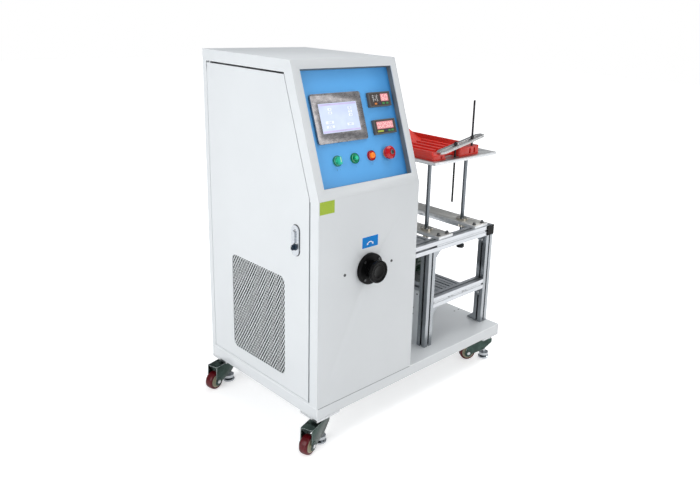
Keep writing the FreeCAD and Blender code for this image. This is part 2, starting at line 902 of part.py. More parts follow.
def mounting_plate():
    front = gear_back + plate_sheet
    half = spacer_size / 2
    spacers = []
    for x in (plate_left + spacer_inset, plate_right - spacer_inset):
        for z in (plate_low + spacer_inset, plate_high - spacer_inset):
            spacers.append(block(x - half, x + half, front, front + plate_standoff, z - half, z + half))
    sheet = block(plate_left, plate_right, gear_back, front, plate_low, plate_high)
    rails = [top_hat_rail(terminal_rail_z + i * rail_pitch) for i in range(3)]
    return group([joined(sheet, *spacers)] + rails)


def gear_unit(x, z, size):
    """Clip-on unit: a deep middle between two lower shoulders."""
    low, high = z - size.z / 2, z + size.z / 2
    front = rail_face - size.y
    step_y = front + size.y * unit_step
    step_z = size.z * unit_step / 2
    outline = [(rail_face, low), (rail_face, high), (step_y, high), (step_y, high - step_z),
               (front, high - step_z), (front, low + step_z), (step_y, low + step_z), (step_y, low)]
    return side_profile(outline, x - size.x / 2, x + size.x / 2)


def unit_row(count, pitch, z, size):
    middle = (plate_left + plate_right) / 2
    return [gear_unit(middle + (i - (count - 1) / 2) * pitch, z, size) for i in range(count)]


def control_gear():
    top_z = terminal_rail_z + 2 * rail_pitch
    units = [gear_unit(plate_left + rail_inset + supply_inset, top_z, supply_size),
             gear_unit(plate_right - rail_inset - controller_inset, top_z, controller_size)]
    units += unit_row(contactor_count, contactor_pitch, terminal_rail_z + rail_pitch, contactor_size)
    units += unit_row(terminal_count, terminal_pitch, terminal_rail_z, terminal_size)
    return group(units)


# Slotted profile: one side of its section, turned four times

def slot_bar(start, direction, length):
    side = [(-half_bar, half_bar), (-slot_mouth / 2, half_bar), (-slot_mouth / 2, half_bar - slot_lip),
            (-slot_inner / 2, half_bar - slot_lip), (-slot_floor / 2, half_bar - slot_depth),
            (slot_floor / 2, half_bar - slot_depth), (slot_inner / 2, half_bar - slot_lip),
            (slot_mouth / 2, half_bar - slot_lip), (slot_mouth / 2, half_bar)]
    points = []
    for quarter in range(4):
        turn = FreeCAD.Rotation(Z_DIR, -90 * quarter)
        points += [turn.multVec(Vec(x, y, 0)) for x, y in side]
    profile = prism(points, Z_DIR * length)
    profile.Placement = FreeCAD.Placement(start, FreeCAD.Rotation(Z_DIR, direction))
    return profile


def frame_posts():
    return group([slot_bar(Vec(x, y, base_top), Z_DIR, post_height) for x in post_x for y in rail_y])


def upper_rails():
    across = frame_right - bar - cabinet_width
    rails = [slot_bar(Vec(cabinet_width, y, upper_mid), X_DIR, across) for y in rail_y]
    rails.append(slot_bar(Vec(post_x[0], rail_y[0] + half_bar, upper_mid), Y_DIR, between_rails))
    rails.append(slot_bar(Vec(post_x[1], frame_front, upper_mid), Y_DIR, frame_back - frame_front))
    return group(rails)


def lower_rails():
    across = frame_right - frame_left - 2 * bar
    rails = [slot_bar(Vec(frame_left + bar, y, lower_mid), X_DIR, across) for y in rail_y]
    rails.append(slot_bar(Vec(post_x[0], rail_y[0] + half_bar, lower_mid), Y_DIR, between_rails))
    return group(rails)


def shelf_rails():
    return group([slot_bar(Vec(shelf_first_x + i * shelf_pitch, rail_y[0] + half_bar, lower_mid), Y_DIR,
                           between_rails) for i in range(shelf_count)])


# Corner brackets: two legs and a web, in the frame's inner corners

def bracket(corner, along, upward):
    sideways = along.cross(upward)
    start = corner - sideways * (bracket_width / 2)
    inner = start + (along + upward) * bracket_sheet
    legs = prism([start, start + along * bracket_leg, start + along * bracket_leg + upward * bracket_sheet,
                  inner, start + upward * bracket_leg + along * bracket_sheet, start + upward * bracket_leg],
                 sideways * bracket_width)
    reach = bracket_leg - 2 * bracket_sheet
    web = prism([inner, inner + along * reach, inner + upward * reach], sideways * bracket_sheet)
    return joined(legs, web)


def corner_brackets():
    found = []
    for y, inward in ((rail_y[0], Y_DIR), (rail_y[1], -Y_DIR)):
        for x, along in ((frame_left + bar, X_DIR), (frame_right - bar, -X_DIR)):
            found.append(bracket(Vec(x, y, upper_rail_z), along, -Z_DIR))
            found.append(bracket(Vec(x, y, lower_rail_z), along, -Z_DIR))
        for x in post_x:
            face = Vec(x, y, 0) + inward * half_bar
            found.append(bracket(face + Z_DIR * base_top, inward, Z_DIR))
            found.append(bracket(face + Z_DIR * upper_rail_z, inward, -Z_DIR))
    return group(found)


def rail_end_caps():
    return group([block(frame_right - bar, frame_right, y, y + cap_sheet, upper_rail_z, upper_rail_top)
                  for y in (frame_front - cap_sheet, frame_back)])


def frame_side_sheet():
    return block(frame_left - side_sheet, frame_left, frame_front + bar, frame_back - bar, base_top,
                 side_sheet_top)


# Bearing plates, flanged bearings, guide shafts and the stop discs at their lower ends

def bearing_plate(x):
    half = plate_width / 2
    plate = block(x - half, x + half, frame_front + plate_end_gap, frame_back - plate_end_gap,
                  upper_rail_top, bearing_plate_top)
    holes = [rod(bearing_radius, Vec(x, centre.y, upper_rail_top), Vec(x, centre.y, bearing_plate_top))
             for centre in shaft_centres if centre.x == x]
    return plate.cut(holes)


def linear_bearing(centre):
    top = bearing_plate_top + bearing_flange
    low = bearing_plate_top - bearing_length
    bore = shaft_radius + shaft_clearance
    return turned([(bore, low), (bearing_radius, low), (bearing_radius, bearing_plate_top),
                   (bearing_flange_radius, bearing_plate_top), (bearing_flange_radius, top), (bore, top)],
                  centre, Z_DIR)


def guide_shaft(centre):
    return rod(shaft_radius, centre + Z_DIR * shaft_low, centre + Z_DIR * table_under)


def stop_disc(centre):
    return rod(stop_disc_radius, centre + Z_DIR * (shaft_low - stop_disc_height), centre + Z_DIR * shaft_low)


def table_plate():
    plate = block(table_left, table_right, table_front, table_rear, table_under, table_top)
    return plate.cut(rod(stud_radius, Vec(stud_x, stud_y, table_under), Vec(stud_x, stud_y, table_top)))


# Lifting drive on the shelf rails, its screw, and the nut tube that hangs from the table

def lift_drive():
    """Gearbox with a finned motor lying along X."""
    half_w, half_d = lift_box_width / 2, lift_box_depth / 2
    case = block(screw_x - half_w, screw_x + half_w, screw_y - half_d, screw_y + half_d, lift_base,
                 lift_box_top)
    start = screw_x + half_w
    end = start + lift_motor_length
    motor_z = lift_base + lift_motor_radius + lift_fin_height
    motor = rod(lift_motor_radius, Vec(start, screw_y, motor_z), Vec(end, screw_y, motor_z))
    step = 360 / lift_fin_count
    root = lift_motor_radius - lift_fin_sheet
    fins = []
    for i in range(lift_fin_count):
        fin = block(start + lift_fin_start, end - lift_fin_end, -lift_fin_sheet / 2, lift_fin_sheet / 2,
                    root, lift_motor_radius + lift_fin_height)
        turn = FreeCAD.Rotation(X_DIR, (i + 0.5) * step)
        fin.Placement = FreeCAD.Placement(Vec(0, screw_y, motor_z), turn)
        fins.append(fin)
    foot = block(start + lift_fin_start, end - lift_fin_end, screw_y - half_d, screw_y + half_d, lift_base,
                 lift_base + 2 * lift_fin_height)
    bore = rod(screw_radius + shaft_clearance, Vec(screw_x, screw_y, screw_low - moving_gap),
               Vec(screw_x, screw_y, lift_box_top))
    return joined(case, motor, foot, *fins).cut(bore)


def lift_screw():
    return rod(screw_radius, Vec(screw_x, screw_y, screw_low), Vec(screw_x, screw_y, screw_top))


def lift_tube():
    bore = screw_radius + shaft_clearance
    outer = bore + tube_wall
    flange_low = table_under - tube_flange
    return turned([(bore, tube_low), (outer, tube_low), (outer, flange_low),
                   (tube_flange_radius, flange_low), (tube_flange_radius, table_under),
                   (bore, table_under)], Vec(screw_x, screw_y, 0), Z_DIR)


# Cradle: floor, side walls, front blocks, ribs with round ends, and the ramp that rises to the rear

def cradle_part(x0, x1, y0, y1, top):
    return block(x0, x1, y0, y1, table_top, top)


def cradle_rib(x):
    end = rib_end + rib_end_slope * (x - rib_first_x)
    top = table_top + rib_height
    bar_part = cradle_part(x - rib_width / 2, x + rib_width / 2, rib_front, end, top)
    tip = rod(rib_width / 2, Vec(x, end, table_top), Vec(x, end, top))
    return joined(bar_part, tip)


def cradle_ramp():
    """Hollow curve that climbs from the cradle's floor to its rear edge."""
    x0 = cradle_left + cradle_wall / 2
    rear = cradle_rear - cradle_corner
    foot_z = table_top + cradle_floor
    start = Vec(x0, ramp_front, foot_z)
    middle = Vec(x0, (ramp_front + rear) / 2, foot_z + ramp_height * ramp_hollow)
    end = Vec(x0, rear, foot_z + ramp_height)
    corners = [end, Vec(x0, rear, table_top), Vec(x0, ramp_front, table_top), start]
    outline = Part.Wire([Part.Arc(start, middle, end).toShape()] + Part.makePolygon(corners).Edges)
    return Part.Face(outline).extrude(X_DIR * (cradle_right - cradle_left - cradle_wall))


def front_recess(x, block_top):
    """Upright pocket in the front face of a block."""
    return block(x - recess_width / 2, x + recess_width / 2, cradle_front, cradle_front + recess_depth,
                 table_top + recess_lip, block_top - recess_lip)


def cradle():
    floor = cradle_part(cradle_left, cradle_right, cradle_front, cradle_rear, table_top + cradle_floor)
    wall_front, wall_rear = cradle_front + cradle_corner, cradle_rear - cradle_corner
    pieces = [cradle_part(cradle_left, cradle_left + cradle_wall, wall_front, wall_rear, cradle_top),
              cradle_part(cradle_right - cradle_wall, cradle_right, wall_front, wall_rear, cradle_top)]
    left_top = cradle_top - left_block_drop
    left_block = cradle_part(cradle_left, mouth_left, cradle_front, block_rear, left_top)
    right_block = cradle_part(mouth_right, cradle_right, cradle_front, block_rear, cradle_top)
    pieces += [rounded(part, Z_DIR, block_corner) for part in (left_block, right_block)]
    pieces += [cradle_rib(rib_first_x + i * rib_pitch) for i in range(rib_count)]
    pieces.append(cradle_ramp())
    cuts = [cradle_part(mouth_left, mouth_right, cradle_front, block_rear, cradle_top),
            front_recess(recess_left_x, left_top),
            front_recess(recess_middle_x, cradle_top), front_recess(recess_right_x, cradle_top)]
    return joined(rounded(floor, Z_DIR, cradle_corner), *pieces).cut(cuts)


# Strap clamp: a stud with nuts, the tilted strap and its heel screw

def hexagon(centre, height):
    corners = [centre + Vec(math.cos(math.radians(60 * i)), math.sin(math.radians(60 * i)), 0) * nut_radius
               for i in range(6)]
    return prism(corners, Z_DIR * height)


def strap_underside(reach):
    """Height of the strap's underside at a distance along X from the stud."""
    return strap_z + reach * math.tan(math.radians(strap_tilt))


def clamp_stud():
    top_nut = strap_underside(0) + strap_skin + nut_room
    stud = rod(stud_radius, Vec(stud_x, stud_y, stud_low), Vec(stud_x, stud_y, top_nut + stud_end))
    return joined(stud, hexagon(Vec(stud_x, stud_y, table_under - nut_height), nut_height),
                  hexagon(Vec(stud_x, stud_y, top_nut), nut_height))


def clamp_strap():
    """Slotted strap with bevelled ends, tilted up to the right."""
    half = strap_width / 2
    left, right = -strap_left_reach, strap_right_reach
    corners = [(left, -half / 2), (left + strap_bevel, -half), (right - strap_bevel, -half),
               (right, -half / 2), (right, half / 2), (right - strap_bevel, half),
               (left + strap_bevel, half), (left, half / 2)]
    strap = prism([Vec(x, y, 0) for x, y in corners], Z_DIR * strap_sheet)
    slot_ends = (-strap_slot_left, strap_slot_right)
    slot = block(-strap_slot_left, strap_slot_right, -strap_slot / 2, strap_slot / 2, 0, strap_sheet)
    ends = [rod(strap_slot / 2, Vec(x, 0, 0), Vec(x, 0, strap_sheet)) for x in slot_ends]
    strap = strap.cut([slot] + ends)
    strap.Placement = FreeCAD.Placement(Vec(stud_x, stud_y, strap_z), FreeCAD.Rotation(Y_DIR, -strap_tilt))
    return strap


def heel_screw():
    """Threaded rod that props the strap's high side on the cradle, with a nut below and above."""
    under = strap_underside(heel_reach) - nut_room - nut_height
    over = strap_underside(heel_reach) + strap_skin + nut_room
    low = Vec(heel_x, stud_y, cradle_top + moving_gap)
    screw = rod(stud_radius, low, Vec(heel_x, stud_y, table_top + heel_top))
    return joined(screw, hexagon(Vec(heel_x, stud_y, under), nut_height),
                  hexagon(Vec(heel_x, stud_y, over), nut_height))


# Every piece by its name

nodes = {
    "base_tray": base_tray(),
    "caster_pads": group([caster_pad_with_race(corner) for corner in caster_corners]),
    "side_frame": side_frame(),
    "right_side": right_side(),
    "front_cover": front_cover(),
    "slant_frame": slant_frame(),
    "top_cover": top_cover(),
    "rear_cover": rear_cover(),
    "power_inlet": power_inlet(),
    "control_panel": control_panel(),
    "touch_screen_housing": touch_screen_housing(),
    "touch_screen_glass": on_slope(screen_glass_flat()),
    "counters": group([counter(along) for along in counter_centres]),
    "switch_bodies": group([switch_body(across) for across in switch_across]),
    "selector_knob": selector_knob(switch_across[0]),
    "green_button": push_cap(switch_across[1]),
    "orange_button": push_cap(switch_across[2]),
    "stop_button": stop_button(switch_across[3]),
    "door_sheet": door_sheet(),
    "door_mesh": door_mesh(),
    "latch_plate": latch_plate(),
    "latch_key": latch_key(),
    "knob_flange": knob_flange(),
    "hand_knob": hand_knob(),
    "knob_shaft": knob_shaft(),
    "swing_drive": swing_drive(),
    "drive_stand": drive_stand(),
    "mounting_plate": mounting_plate(),
    "control_gear": control_gear(),
    "frame_posts": frame_posts(),
    "upper_rails": upper_rails(),
    "lower_rails": lower_rails(),
    "shelf_rails": shelf_rails(),
    "corner_brackets": corner_brackets(),
    "rail_end_caps": rail_end_caps(),
    "frame_side_sheet": frame_side_sheet(),
    "bearing_plates": group([bearing_plate(x) for x in (shaft_left_x, shaft_right_x)]),
    "linear_bearings": group([linear_bearing(centre) for centre in shaft_centres]),
    "guide_shafts": group([guide_shaft(centre) for centre in shaft_centres]),
    "shaft_stop_discs": group([stop_disc(centre) for centre in shaft_centres]),
    "table_plate": table_plate(),
    "lift_drive": lift_drive(),
    "lift_screw": lift_screw(),
    "lift_tube": lift_tube(),
    "cradle": cradle(),
    "clamp_stud": clamp_stud(),
    "clamp_strap": clamp_strap(),
    "heel_screw": heel_screw(),
}
caster = {"caster_fork": joined(caster_fork(), caster_axle()),
          "caster_wheel": caster_wheel(),
          "levelling_foot": levelling_foot()}
for corner in caster_corners:
    for piece, shape in caster.items():
        nodes[piece + "_" + corner] = at_caster(shape, corner)

# Move everything to the centre of its outline on the floor, and write it

outline_box = group(list(nodes.values())).optimalBoundingBox(True, False)
origin = Vec((outline_box.XMin + outline_box.XMax) / 2, (outline_box.YMin + outline_box.YMax) / 2,
             outline_box.ZMin)
os.makedirs("parts", exist_ok=True)
for name, shape in nodes.items():
    moved = shape.copy()
    moved.translate(-origin)
    moved.exportStep("parts/" + name + ".step")
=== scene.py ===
import math

import bmesh
import bpy
from bpy.props import FloatProperty, FloatVectorProperty, PointerProperty
from mathutils import Matrix, Vector


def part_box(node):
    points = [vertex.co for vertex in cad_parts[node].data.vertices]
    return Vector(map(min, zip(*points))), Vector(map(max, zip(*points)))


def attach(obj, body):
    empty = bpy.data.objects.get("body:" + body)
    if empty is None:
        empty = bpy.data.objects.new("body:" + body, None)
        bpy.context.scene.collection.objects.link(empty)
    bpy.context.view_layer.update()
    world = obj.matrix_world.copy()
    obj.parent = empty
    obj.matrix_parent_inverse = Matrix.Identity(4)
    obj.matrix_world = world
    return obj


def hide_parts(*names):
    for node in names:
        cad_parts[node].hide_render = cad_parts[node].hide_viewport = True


bl_info = {
    "name": "Cord flexing tester",
    "version": (1, 0, 0),
    "blender": (4, 5, 0),
    "location": "View3D > Sidebar > Flexing tester",
    "description": "Dresses the solids of a cord flexing tester with finishes, fixings and small parts",
    "category": "Object",
}

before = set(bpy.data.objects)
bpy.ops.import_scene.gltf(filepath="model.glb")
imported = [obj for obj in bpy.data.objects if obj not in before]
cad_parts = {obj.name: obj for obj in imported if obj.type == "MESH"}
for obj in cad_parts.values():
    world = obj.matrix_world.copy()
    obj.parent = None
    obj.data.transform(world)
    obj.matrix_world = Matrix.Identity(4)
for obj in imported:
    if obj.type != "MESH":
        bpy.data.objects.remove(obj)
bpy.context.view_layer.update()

MM = 0.001
SHARP_EDGE = math.radians(30.0)
UP_Z = Vector((0, 0, 1))
RIGHT_X = Vector((1, 0, 0))
REAR_Y = Vector((0, 1, 0))

# The machine's own corner, left and front, that its drawing sizes are measured from
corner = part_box("base_tray")[0]

# Drawing sizes in millimetres that the fixings and small parts are set out from
BASE_TOP = 150.0
FOLD_Z = 843.0
SETBACK = 138.5
SLANT_RISE = 402.0
PANEL_FACE = -22.0
BEZEL_TOP = -17.0
PANEL_SIDES = (29.0, 411.0)
PANEL_ENDS = (34.0, 397.0)
SCREEN_MIDDLE = (158.8, 245.6)
SCREEN_FACE = -14.0
COUNTER_ACROSS = 340.9
COUNTER_ALONG = (200.25, 290.35)
COUNTER_FLOOR = -11.2
SWITCH_ALONG = 113.1
SWITCH_ACROSS = (118.0, 190.5, 263.0, 335.5)
KNOB_CENTRE = (213.0, 0.0, 586.0)
PLATE_TOP = 586.0
BEARING_TOP = 592.0
SHAFT_X = (674.0, 891.0)
SHAFT_Y = (163.0, 453.0)
RAIL_Y = (80.0, 536.0)
POST_X = (600.0, 948.0)
RAIL_MIDDLES = (554.0, 325.0)
RAIL_ENDS = (620.0, 928.0)
REAR_FACE = 616.0
CABINET_WIDTH = 438.0
WHEEL_HEIGHT = 33.0
CASTER_TRAIL = 76.0
AXLE_HALF = 22.5

# The latch plate's face and middle on the door, and how far its parts lie below or above the middle
LATCH_FACE = -5.0
LATCH_Y = 108.0
LATCH_Z = 698.0
KEY_DROP = 21.0
HANDLE_RISE = 12.0
LATCH_SCREW_RISE = 33.0

# Where the screws stand: circles round a bearing and the knob, shifts on a plate, and bracket legs
BEARING_CIRCLE = 18.5
KNOB_CIRCLE = 43.0
KNOB_FLANGE = 14.0
PLATE_SHIFTS = (-25.0, 25.0)
BRACKET_TOPS = (534.0, 305.0)
BRACKET_HOLE = 22.0
BRACKET_SKIN = 4.0
PAD_CORNERS = (880.0, 530.0)
PAD_HOLES_X = (12.0, 86.0)
PAD_HOLES_Y = (12.0, 74.0)
PAD_BOTTOM = 102.0

# Places on the front, across and up, of its screws, label and sticker, and the sticker's size
FRONT_SCREWS = ((108.0, 587.0), (317.0, 587.0))
LABEL_CENTRE = (215.0, 676.5)
STICKER_CENTRE = (32.5, 822.0)
STICKER_SIZE = (58.0, 40.0)

# Slot covers and screws on the front rails, open holes in the base and side sheet, and the inlet
COVER_SIZE = (294.0, 5.8)
COVER_MIDDLE = (770.0, 61.4)
SHELF_SCREWS = (713.0, 731.0, 800.0, 819.0)
PROFILE_HALF = 20.0
BASE_HOLES = ((935.0, 205.0), (962.0, 205.0))
SHEET_FACE = 578.0
SHEET_HOLES = ((109.0, 358.0), (127.0, 298.0), (127.0, 272.0))
INLET_FACE = (70.0, 619.0, 215.0)
INLET_SHIFTS = (-19.5, 19.5)

# Strips in the door's gaps: the size and the middle of each
FRONT_GAP = ((2.6, 676.0), (0.0, 40.5, 497.0))
REAR_GAP = ((1.6, 1018.0), (2.2, 594.2, 671.0))
LOWER_GAP = ((540.0, 1.4), (2.2, 318.0, 158.7))

# How far the pushbuttons rise over the bezel, and the marks lie below the switches
BUTTON_RISE = 8.0
MARK_DROP = 27.0
CASTERS = {
    "front_left": (43.0, 35.0, 199.0),
    "rear_left": (43.0, 581.0, 194.0),
    "front_right": (935.0, 35.0, 149.0),
    "rear_right": (935.0, 581.0, 150.0),
}

# The camera fitted to the photo: picture size, lens length and lens centre in pixels, the sensor in
# millimetres, its place on the drawing, and its tilt, pan and roll in degrees
PHOTO_WIDTH = 700.0
PHOTO_HEIGHT = 500.0
LENS_PIXELS = 705.55
LENS_CENTRE = (402.62, 209.57)
SENSOR_WIDTH = 36.0
CAMERA_PLACE = (-1288.5, -1547.2, 1408.4)
CAMERA_TURNS = (16.0527, -46.8334, 2.4924)

# Soft lamps: name, place and width in metres, power in watts, and a cool, plain or warm tint
LAMPS = (
    ("left_softbox", (-3.2, -0.4, 1.9), 2.6, 74.0, (0.985, 0.993, 0.995)),
    ("front_softbox", (0.9, -3.6, 2.0), 2.4, 39.0, (1.0, 0.98, 0.955)),
    ("top_softbox", (0.9, -0.3, 4.2), 2.6, 60.0, (1.0, 1.0, 1.0)),
    ("right_softbox", (3.2, 0.3, 2.8), 2.0, 40.0, (1.0, 1.0, 1.0)),
)

SLOPE_UP = Vector((0, SETBACK, SLANT_RISE)).normalized()
SLOPE_OUT = Vector((0, -SLANT_RISE, SETBACK)).normalized()


def at(x, y, z):
    """A point of the drawing, in millimetres, as a point of the frame, in metres."""
    return Vector((corner.x + x * MM, corner.y + y * MM, z * MM))


def on_slope(across, along, height):
    """A point of the sloping panel: across to the right, along up the slope, height out of it."""
    return at(across, 0, FOLD_Z) + (SLOPE_UP * along + SLOPE_OUT * height) * MM


def linear(code):
    """The linear colour of an sRGB hex code."""
    values = [int(code[i:i + 2], 16) / 255 for i in (0, 2, 4)]
    return tuple(v / 12.92 if v <= 0.04045 else ((v + 0.055) / 1.055) ** 2.4 for v in values) + (1.0,)


def colour(label, code, description):
    return FloatVectorProperty(name=label, description=description, default=linear(code), size=4,
                               min=0.0, max=1.0, subtype="COLOR")


def length(label, millimetres, description):
    return FloatProperty(name=label, description=description, default=millimetres * MM, min=0.0,
                         subtype="DISTANCE", unit="LENGTH", precision=4)


class TesterColours(bpy.types.PropertyGroup):
    """Colours of the machine's coats, mouldings and lit parts"""

    white_coat: colour("White coat", "DEE1E3", "Cool white powder coat on the cabinet and base")
    blue_low: colour("Panel blue", "60B6FA", "Printed blue over most of the control panel")
    # The darker blue at the panel's right edge is painted shade from the recess wall.
    blue_painted_shade: colour("Panel blue, right", "3A90D6", "Printed blue at the control panel's right edge")
    black_moulding: colour("Black moulding", "0A0A0B", "Black ABS of the knob, counters and switch blocks")
    screen_surround: colour("Screen surround", "A9A6A8", "Silver painted surround of the touch screen")
    screen_light: colour("Screen", "D0DCF7", "Lit background of the touch screen")
    digit_light: colour("Digits", "FFDAD6", "Lit digits of the counters")
    selector_green: colour("Selector", "45E0B4", "Selector switch")
    selector_ring: colour("Selector ring", "3FAE90", "Ring round the selector")
    button_green: colour("Green button", "0FA06E", "Green pushbutton")
    button_orange: colour("Orange button", "FF8A2A", "Lit orange pushbutton")
    stop_red: colour("Stop button", "C8141C", "Mushroom stop button")
    stop_base: colour("Stop base", "E8772A", "Ring under the stop button")
    cradle_red: colour("Cradle", "E63A2E", "Red moulded cradle on the table")
    tyre_red: colour("Tyre", "600B15", "Red polyurethane tyre of the casters")
    hub_cream: colour("Hub", "C9C3A6", "Cream nylon hub of the casters")
    drive_green: colour("Drive", "1E3A2A", "Hammered enamel of the drives")
    label_blue: colour("Label", "0E82D4", "Printed label over the hand knob")
    sticker_lime: colour("Sticker", "A9C425", "Bare lime sticker at the fold")


class TesterSizes(bpy.types.PropertyGroup):
    """Sizes of the small parts, in metres"""

    sheet_edge: length("Sheet edge", 0.9, "Radius on the folded sheet's edges")
    base_edge: length("Base edge", 3.0, "Radius on the base tray's edges")
    plate_edge: length("Plate edge", 0.8, "Chamfer on the machined plates")
    fork_edge: length("Fork edge", 1.4, "Worn round on the caster forks' edges")
    moulded_edge: length("Moulded edge", 1.6, "Radius on the cradle's edges")
    flange_screw: length("Bearing screw", 3.4, "Head radius of the bearing flange screws")
    plate_screw: length("Plate screw", 5.6, "Head radius of the bearing plate screws")
    mesh_across: length("Mesh across", 12.6, "Width of the door mesh's diamonds")
    mesh_up: length("Mesh up", 19.5, "Height of the door mesh's diamonds")
    mesh_strand: length("Mesh strand", 2.4, "Width of the door mesh's strands")
    label_width: length("Label width", 70.0, "Width of the label over the hand knob")
    label_height: length("Label height", 37.0, "Height of the label over the hand knob")


# Materials

finishes = {}


def add(tree, kind, inputs=None, **settings):
    """Adds a node, sets its properties and inputs, and links what feeds it."""
    made = tree.nodes.new(kind)
    for name, value in settings.items():
        setattr(made, name, value)
    for name, value in (inputs or {}).items():
        if isinstance(value, bpy.types.NodeSocket):
            tree.links.new(value, made.inputs[name])
        else:
            made.inputs[name].default_value = value
    return made


def shaded(colour_value, share):
    return tuple(v * share for v in colour_value[:3]) + (1.0,)


def grained(name, base, roughness, metallic=0.0, grain=2.0, depth=0.02, patch=60.0, shade=0.95,
            rough_range=0.06, **shader):
    """A surface with its colour in soft patches and a fine relief. Sizes in millimetres: the grain, one
    for all axes or one for each, the relief's depth, and the patches' width. Shade is the patches'
    darker share."""
    grain = grain if isinstance(grain, tuple) else (grain,) * 3
    made = bpy.data.materials.new(name)
    made.use_nodes = True
    tree = made.node_tree
    tree.nodes.clear()
    place = add(tree, "ShaderNodeTexCoord").outputs["Object"]
    scaled = add(tree, "ShaderNodeMapping", {"Vector": place, "Scale": [1 / (g * MM) for g in grain]})
    fine = add(tree, "ShaderNodeTexNoise", {"Vector": scaled.outputs["Vector"], "Scale": 1.0, "Detail": 3.0})
    broad = add(tree, "ShaderNodeTexNoise", {"Vector": place, "Scale": 1 / (patch * MM), "Detail": 4.0,
                                             "Roughness": 0.55})
    tone = add(tree, "ShaderNodeMapRange", {"Value": broad.outputs["Fac"], "From Min": 0.35,
                                            "From Max": 0.65})
    mixed = add(tree, "ShaderNodeMix", {0: tone.outputs["Result"], 6: base, 7: shaded(base, shade)},
                data_type="RGBA")
    rough = add(tree, "ShaderNodeMapRange", {"Value": fine.outputs["Fac"], "From Min": 0.3, "From Max": 0.7,
                                             "To Min": max(roughness - rough_range / 2, 0.02),
                                             "To Max": roughness + rough_range / 2})
    relief = add(tree, "ShaderNodeBump", {"Height": fine.outputs["Fac"], "Strength": 1.0,
                                          "Distance": depth * MM})
    surface = add(tree, "ShaderNodeBsdfPrincipled", {
        "Base Color": mixed.outputs[2], "Roughness": rough.outputs["Result"],
        "Metallic": metallic, "Normal": relief.outputs["Normal"], **shader})
    add(tree, "ShaderNodeOutputMaterial", {"Surface": surface.outputs["BSDF"]})
    finishes[name] = made
    return made


def parts_of(finish):
    """A finish's node tree, its shader and its object coordinates."""
    tree = finish.node_tree
    surface = next(n for n in tree.nodes if n.type == "BSDF_PRINCIPLED")
    place = next(n for n in tree.nodes if n.type == "TEX_COORD").outputs["Object"]
    return tree, surface, place


def threaded(name, base, roughness, pitch, depth, axis):
    """Turned steel with its thread drawn as rings, pitch and depth in millimetres."""
    made = grained(name, base, roughness, 1.0, 0.8, 0.004, 30.0, 0.85)
    tree, surface, place = parts_of(made)
    rings = add(tree, "ShaderNodeTexWave", {"Vector": place, "Scale": 2 * math.pi / (20 * pitch * MM)},
                bands_direction=axis, wave_profile="SIN")
    relief = add(tree, "ShaderNodeBump", {"Height": rings.outputs["Fac"], "Strength": 1.0,
                                          "Distance": depth * MM})
    tree.links.new(relief.outputs["Normal"], surface.inputs["Normal"])
    return made


def lit(name, glow, strength, patch):
    """A lit window: its glow is a little uneven, as a diffuser over lamps is."""
    made = grained(name, shaded(glow, 0.4), 0.25, 0.0, 0.6, 0.002, patch, 0.9)
    tree, surface, place = parts_of(made)
    cloud = add(tree, "ShaderNodeTexNoise", {"Vector": place, "Scale": 1 / (patch * MM), "Detail": 1.0})
    spread = add(tree, "ShaderNodeMapRange", {"Value": cloud.outputs["Fac"], "From Min": 0.3,
                                              "From Max": 0.7})
    glowing = add(tree, "ShaderNodeMix", {0: spread.outputs["Result"], 6: glow, 7: shaded(glow, 0.86)},
                  data_type="RGBA")
    tree.links.new(glowing.outputs[2], surface.inputs["Emission Color"])
    surface.inputs["Emission Strength"].default_value = strength
    return made


def blue_panel_with_painted_shade(low, high):
    """Satin powder coat printed blue, darkened towards the right edge as painted shade from the recess wall
    beside it.
    """
    made = grained("printed_blue_with_painted_shade", low, 0.34, 0.0, 1.6, 0.012, 80.0, 0.97)
    tree, surface, place = parts_of(made)
    start, end = on_slope(PANEL_SIDES[1] - 110, 0, 0), on_slope(PANEL_SIDES[1] + 20, 0, 0)
    run = end - start
    along = add(tree, "ShaderNodeVectorMath", {0: place, 1: start}, operation="SUBTRACT")
    share = add(tree, "ShaderNodeVectorMath", {0: along.outputs["Vector"], 1: run / run.length_squared},
                operation="DOT_PRODUCT")
    eased_share = add(tree, "ShaderNodeMapRange", {"Value": share.outputs["Value"]},
                      interpolation_type="SMOOTHSTEP")
    blue = add(tree, "ShaderNodeMix", {0: eased_share.outputs["Result"], 6: low, 7: high}, data_type="RGBA")
    tree.links.new(blue.outputs[2], surface.inputs["Base Color"])
    return made


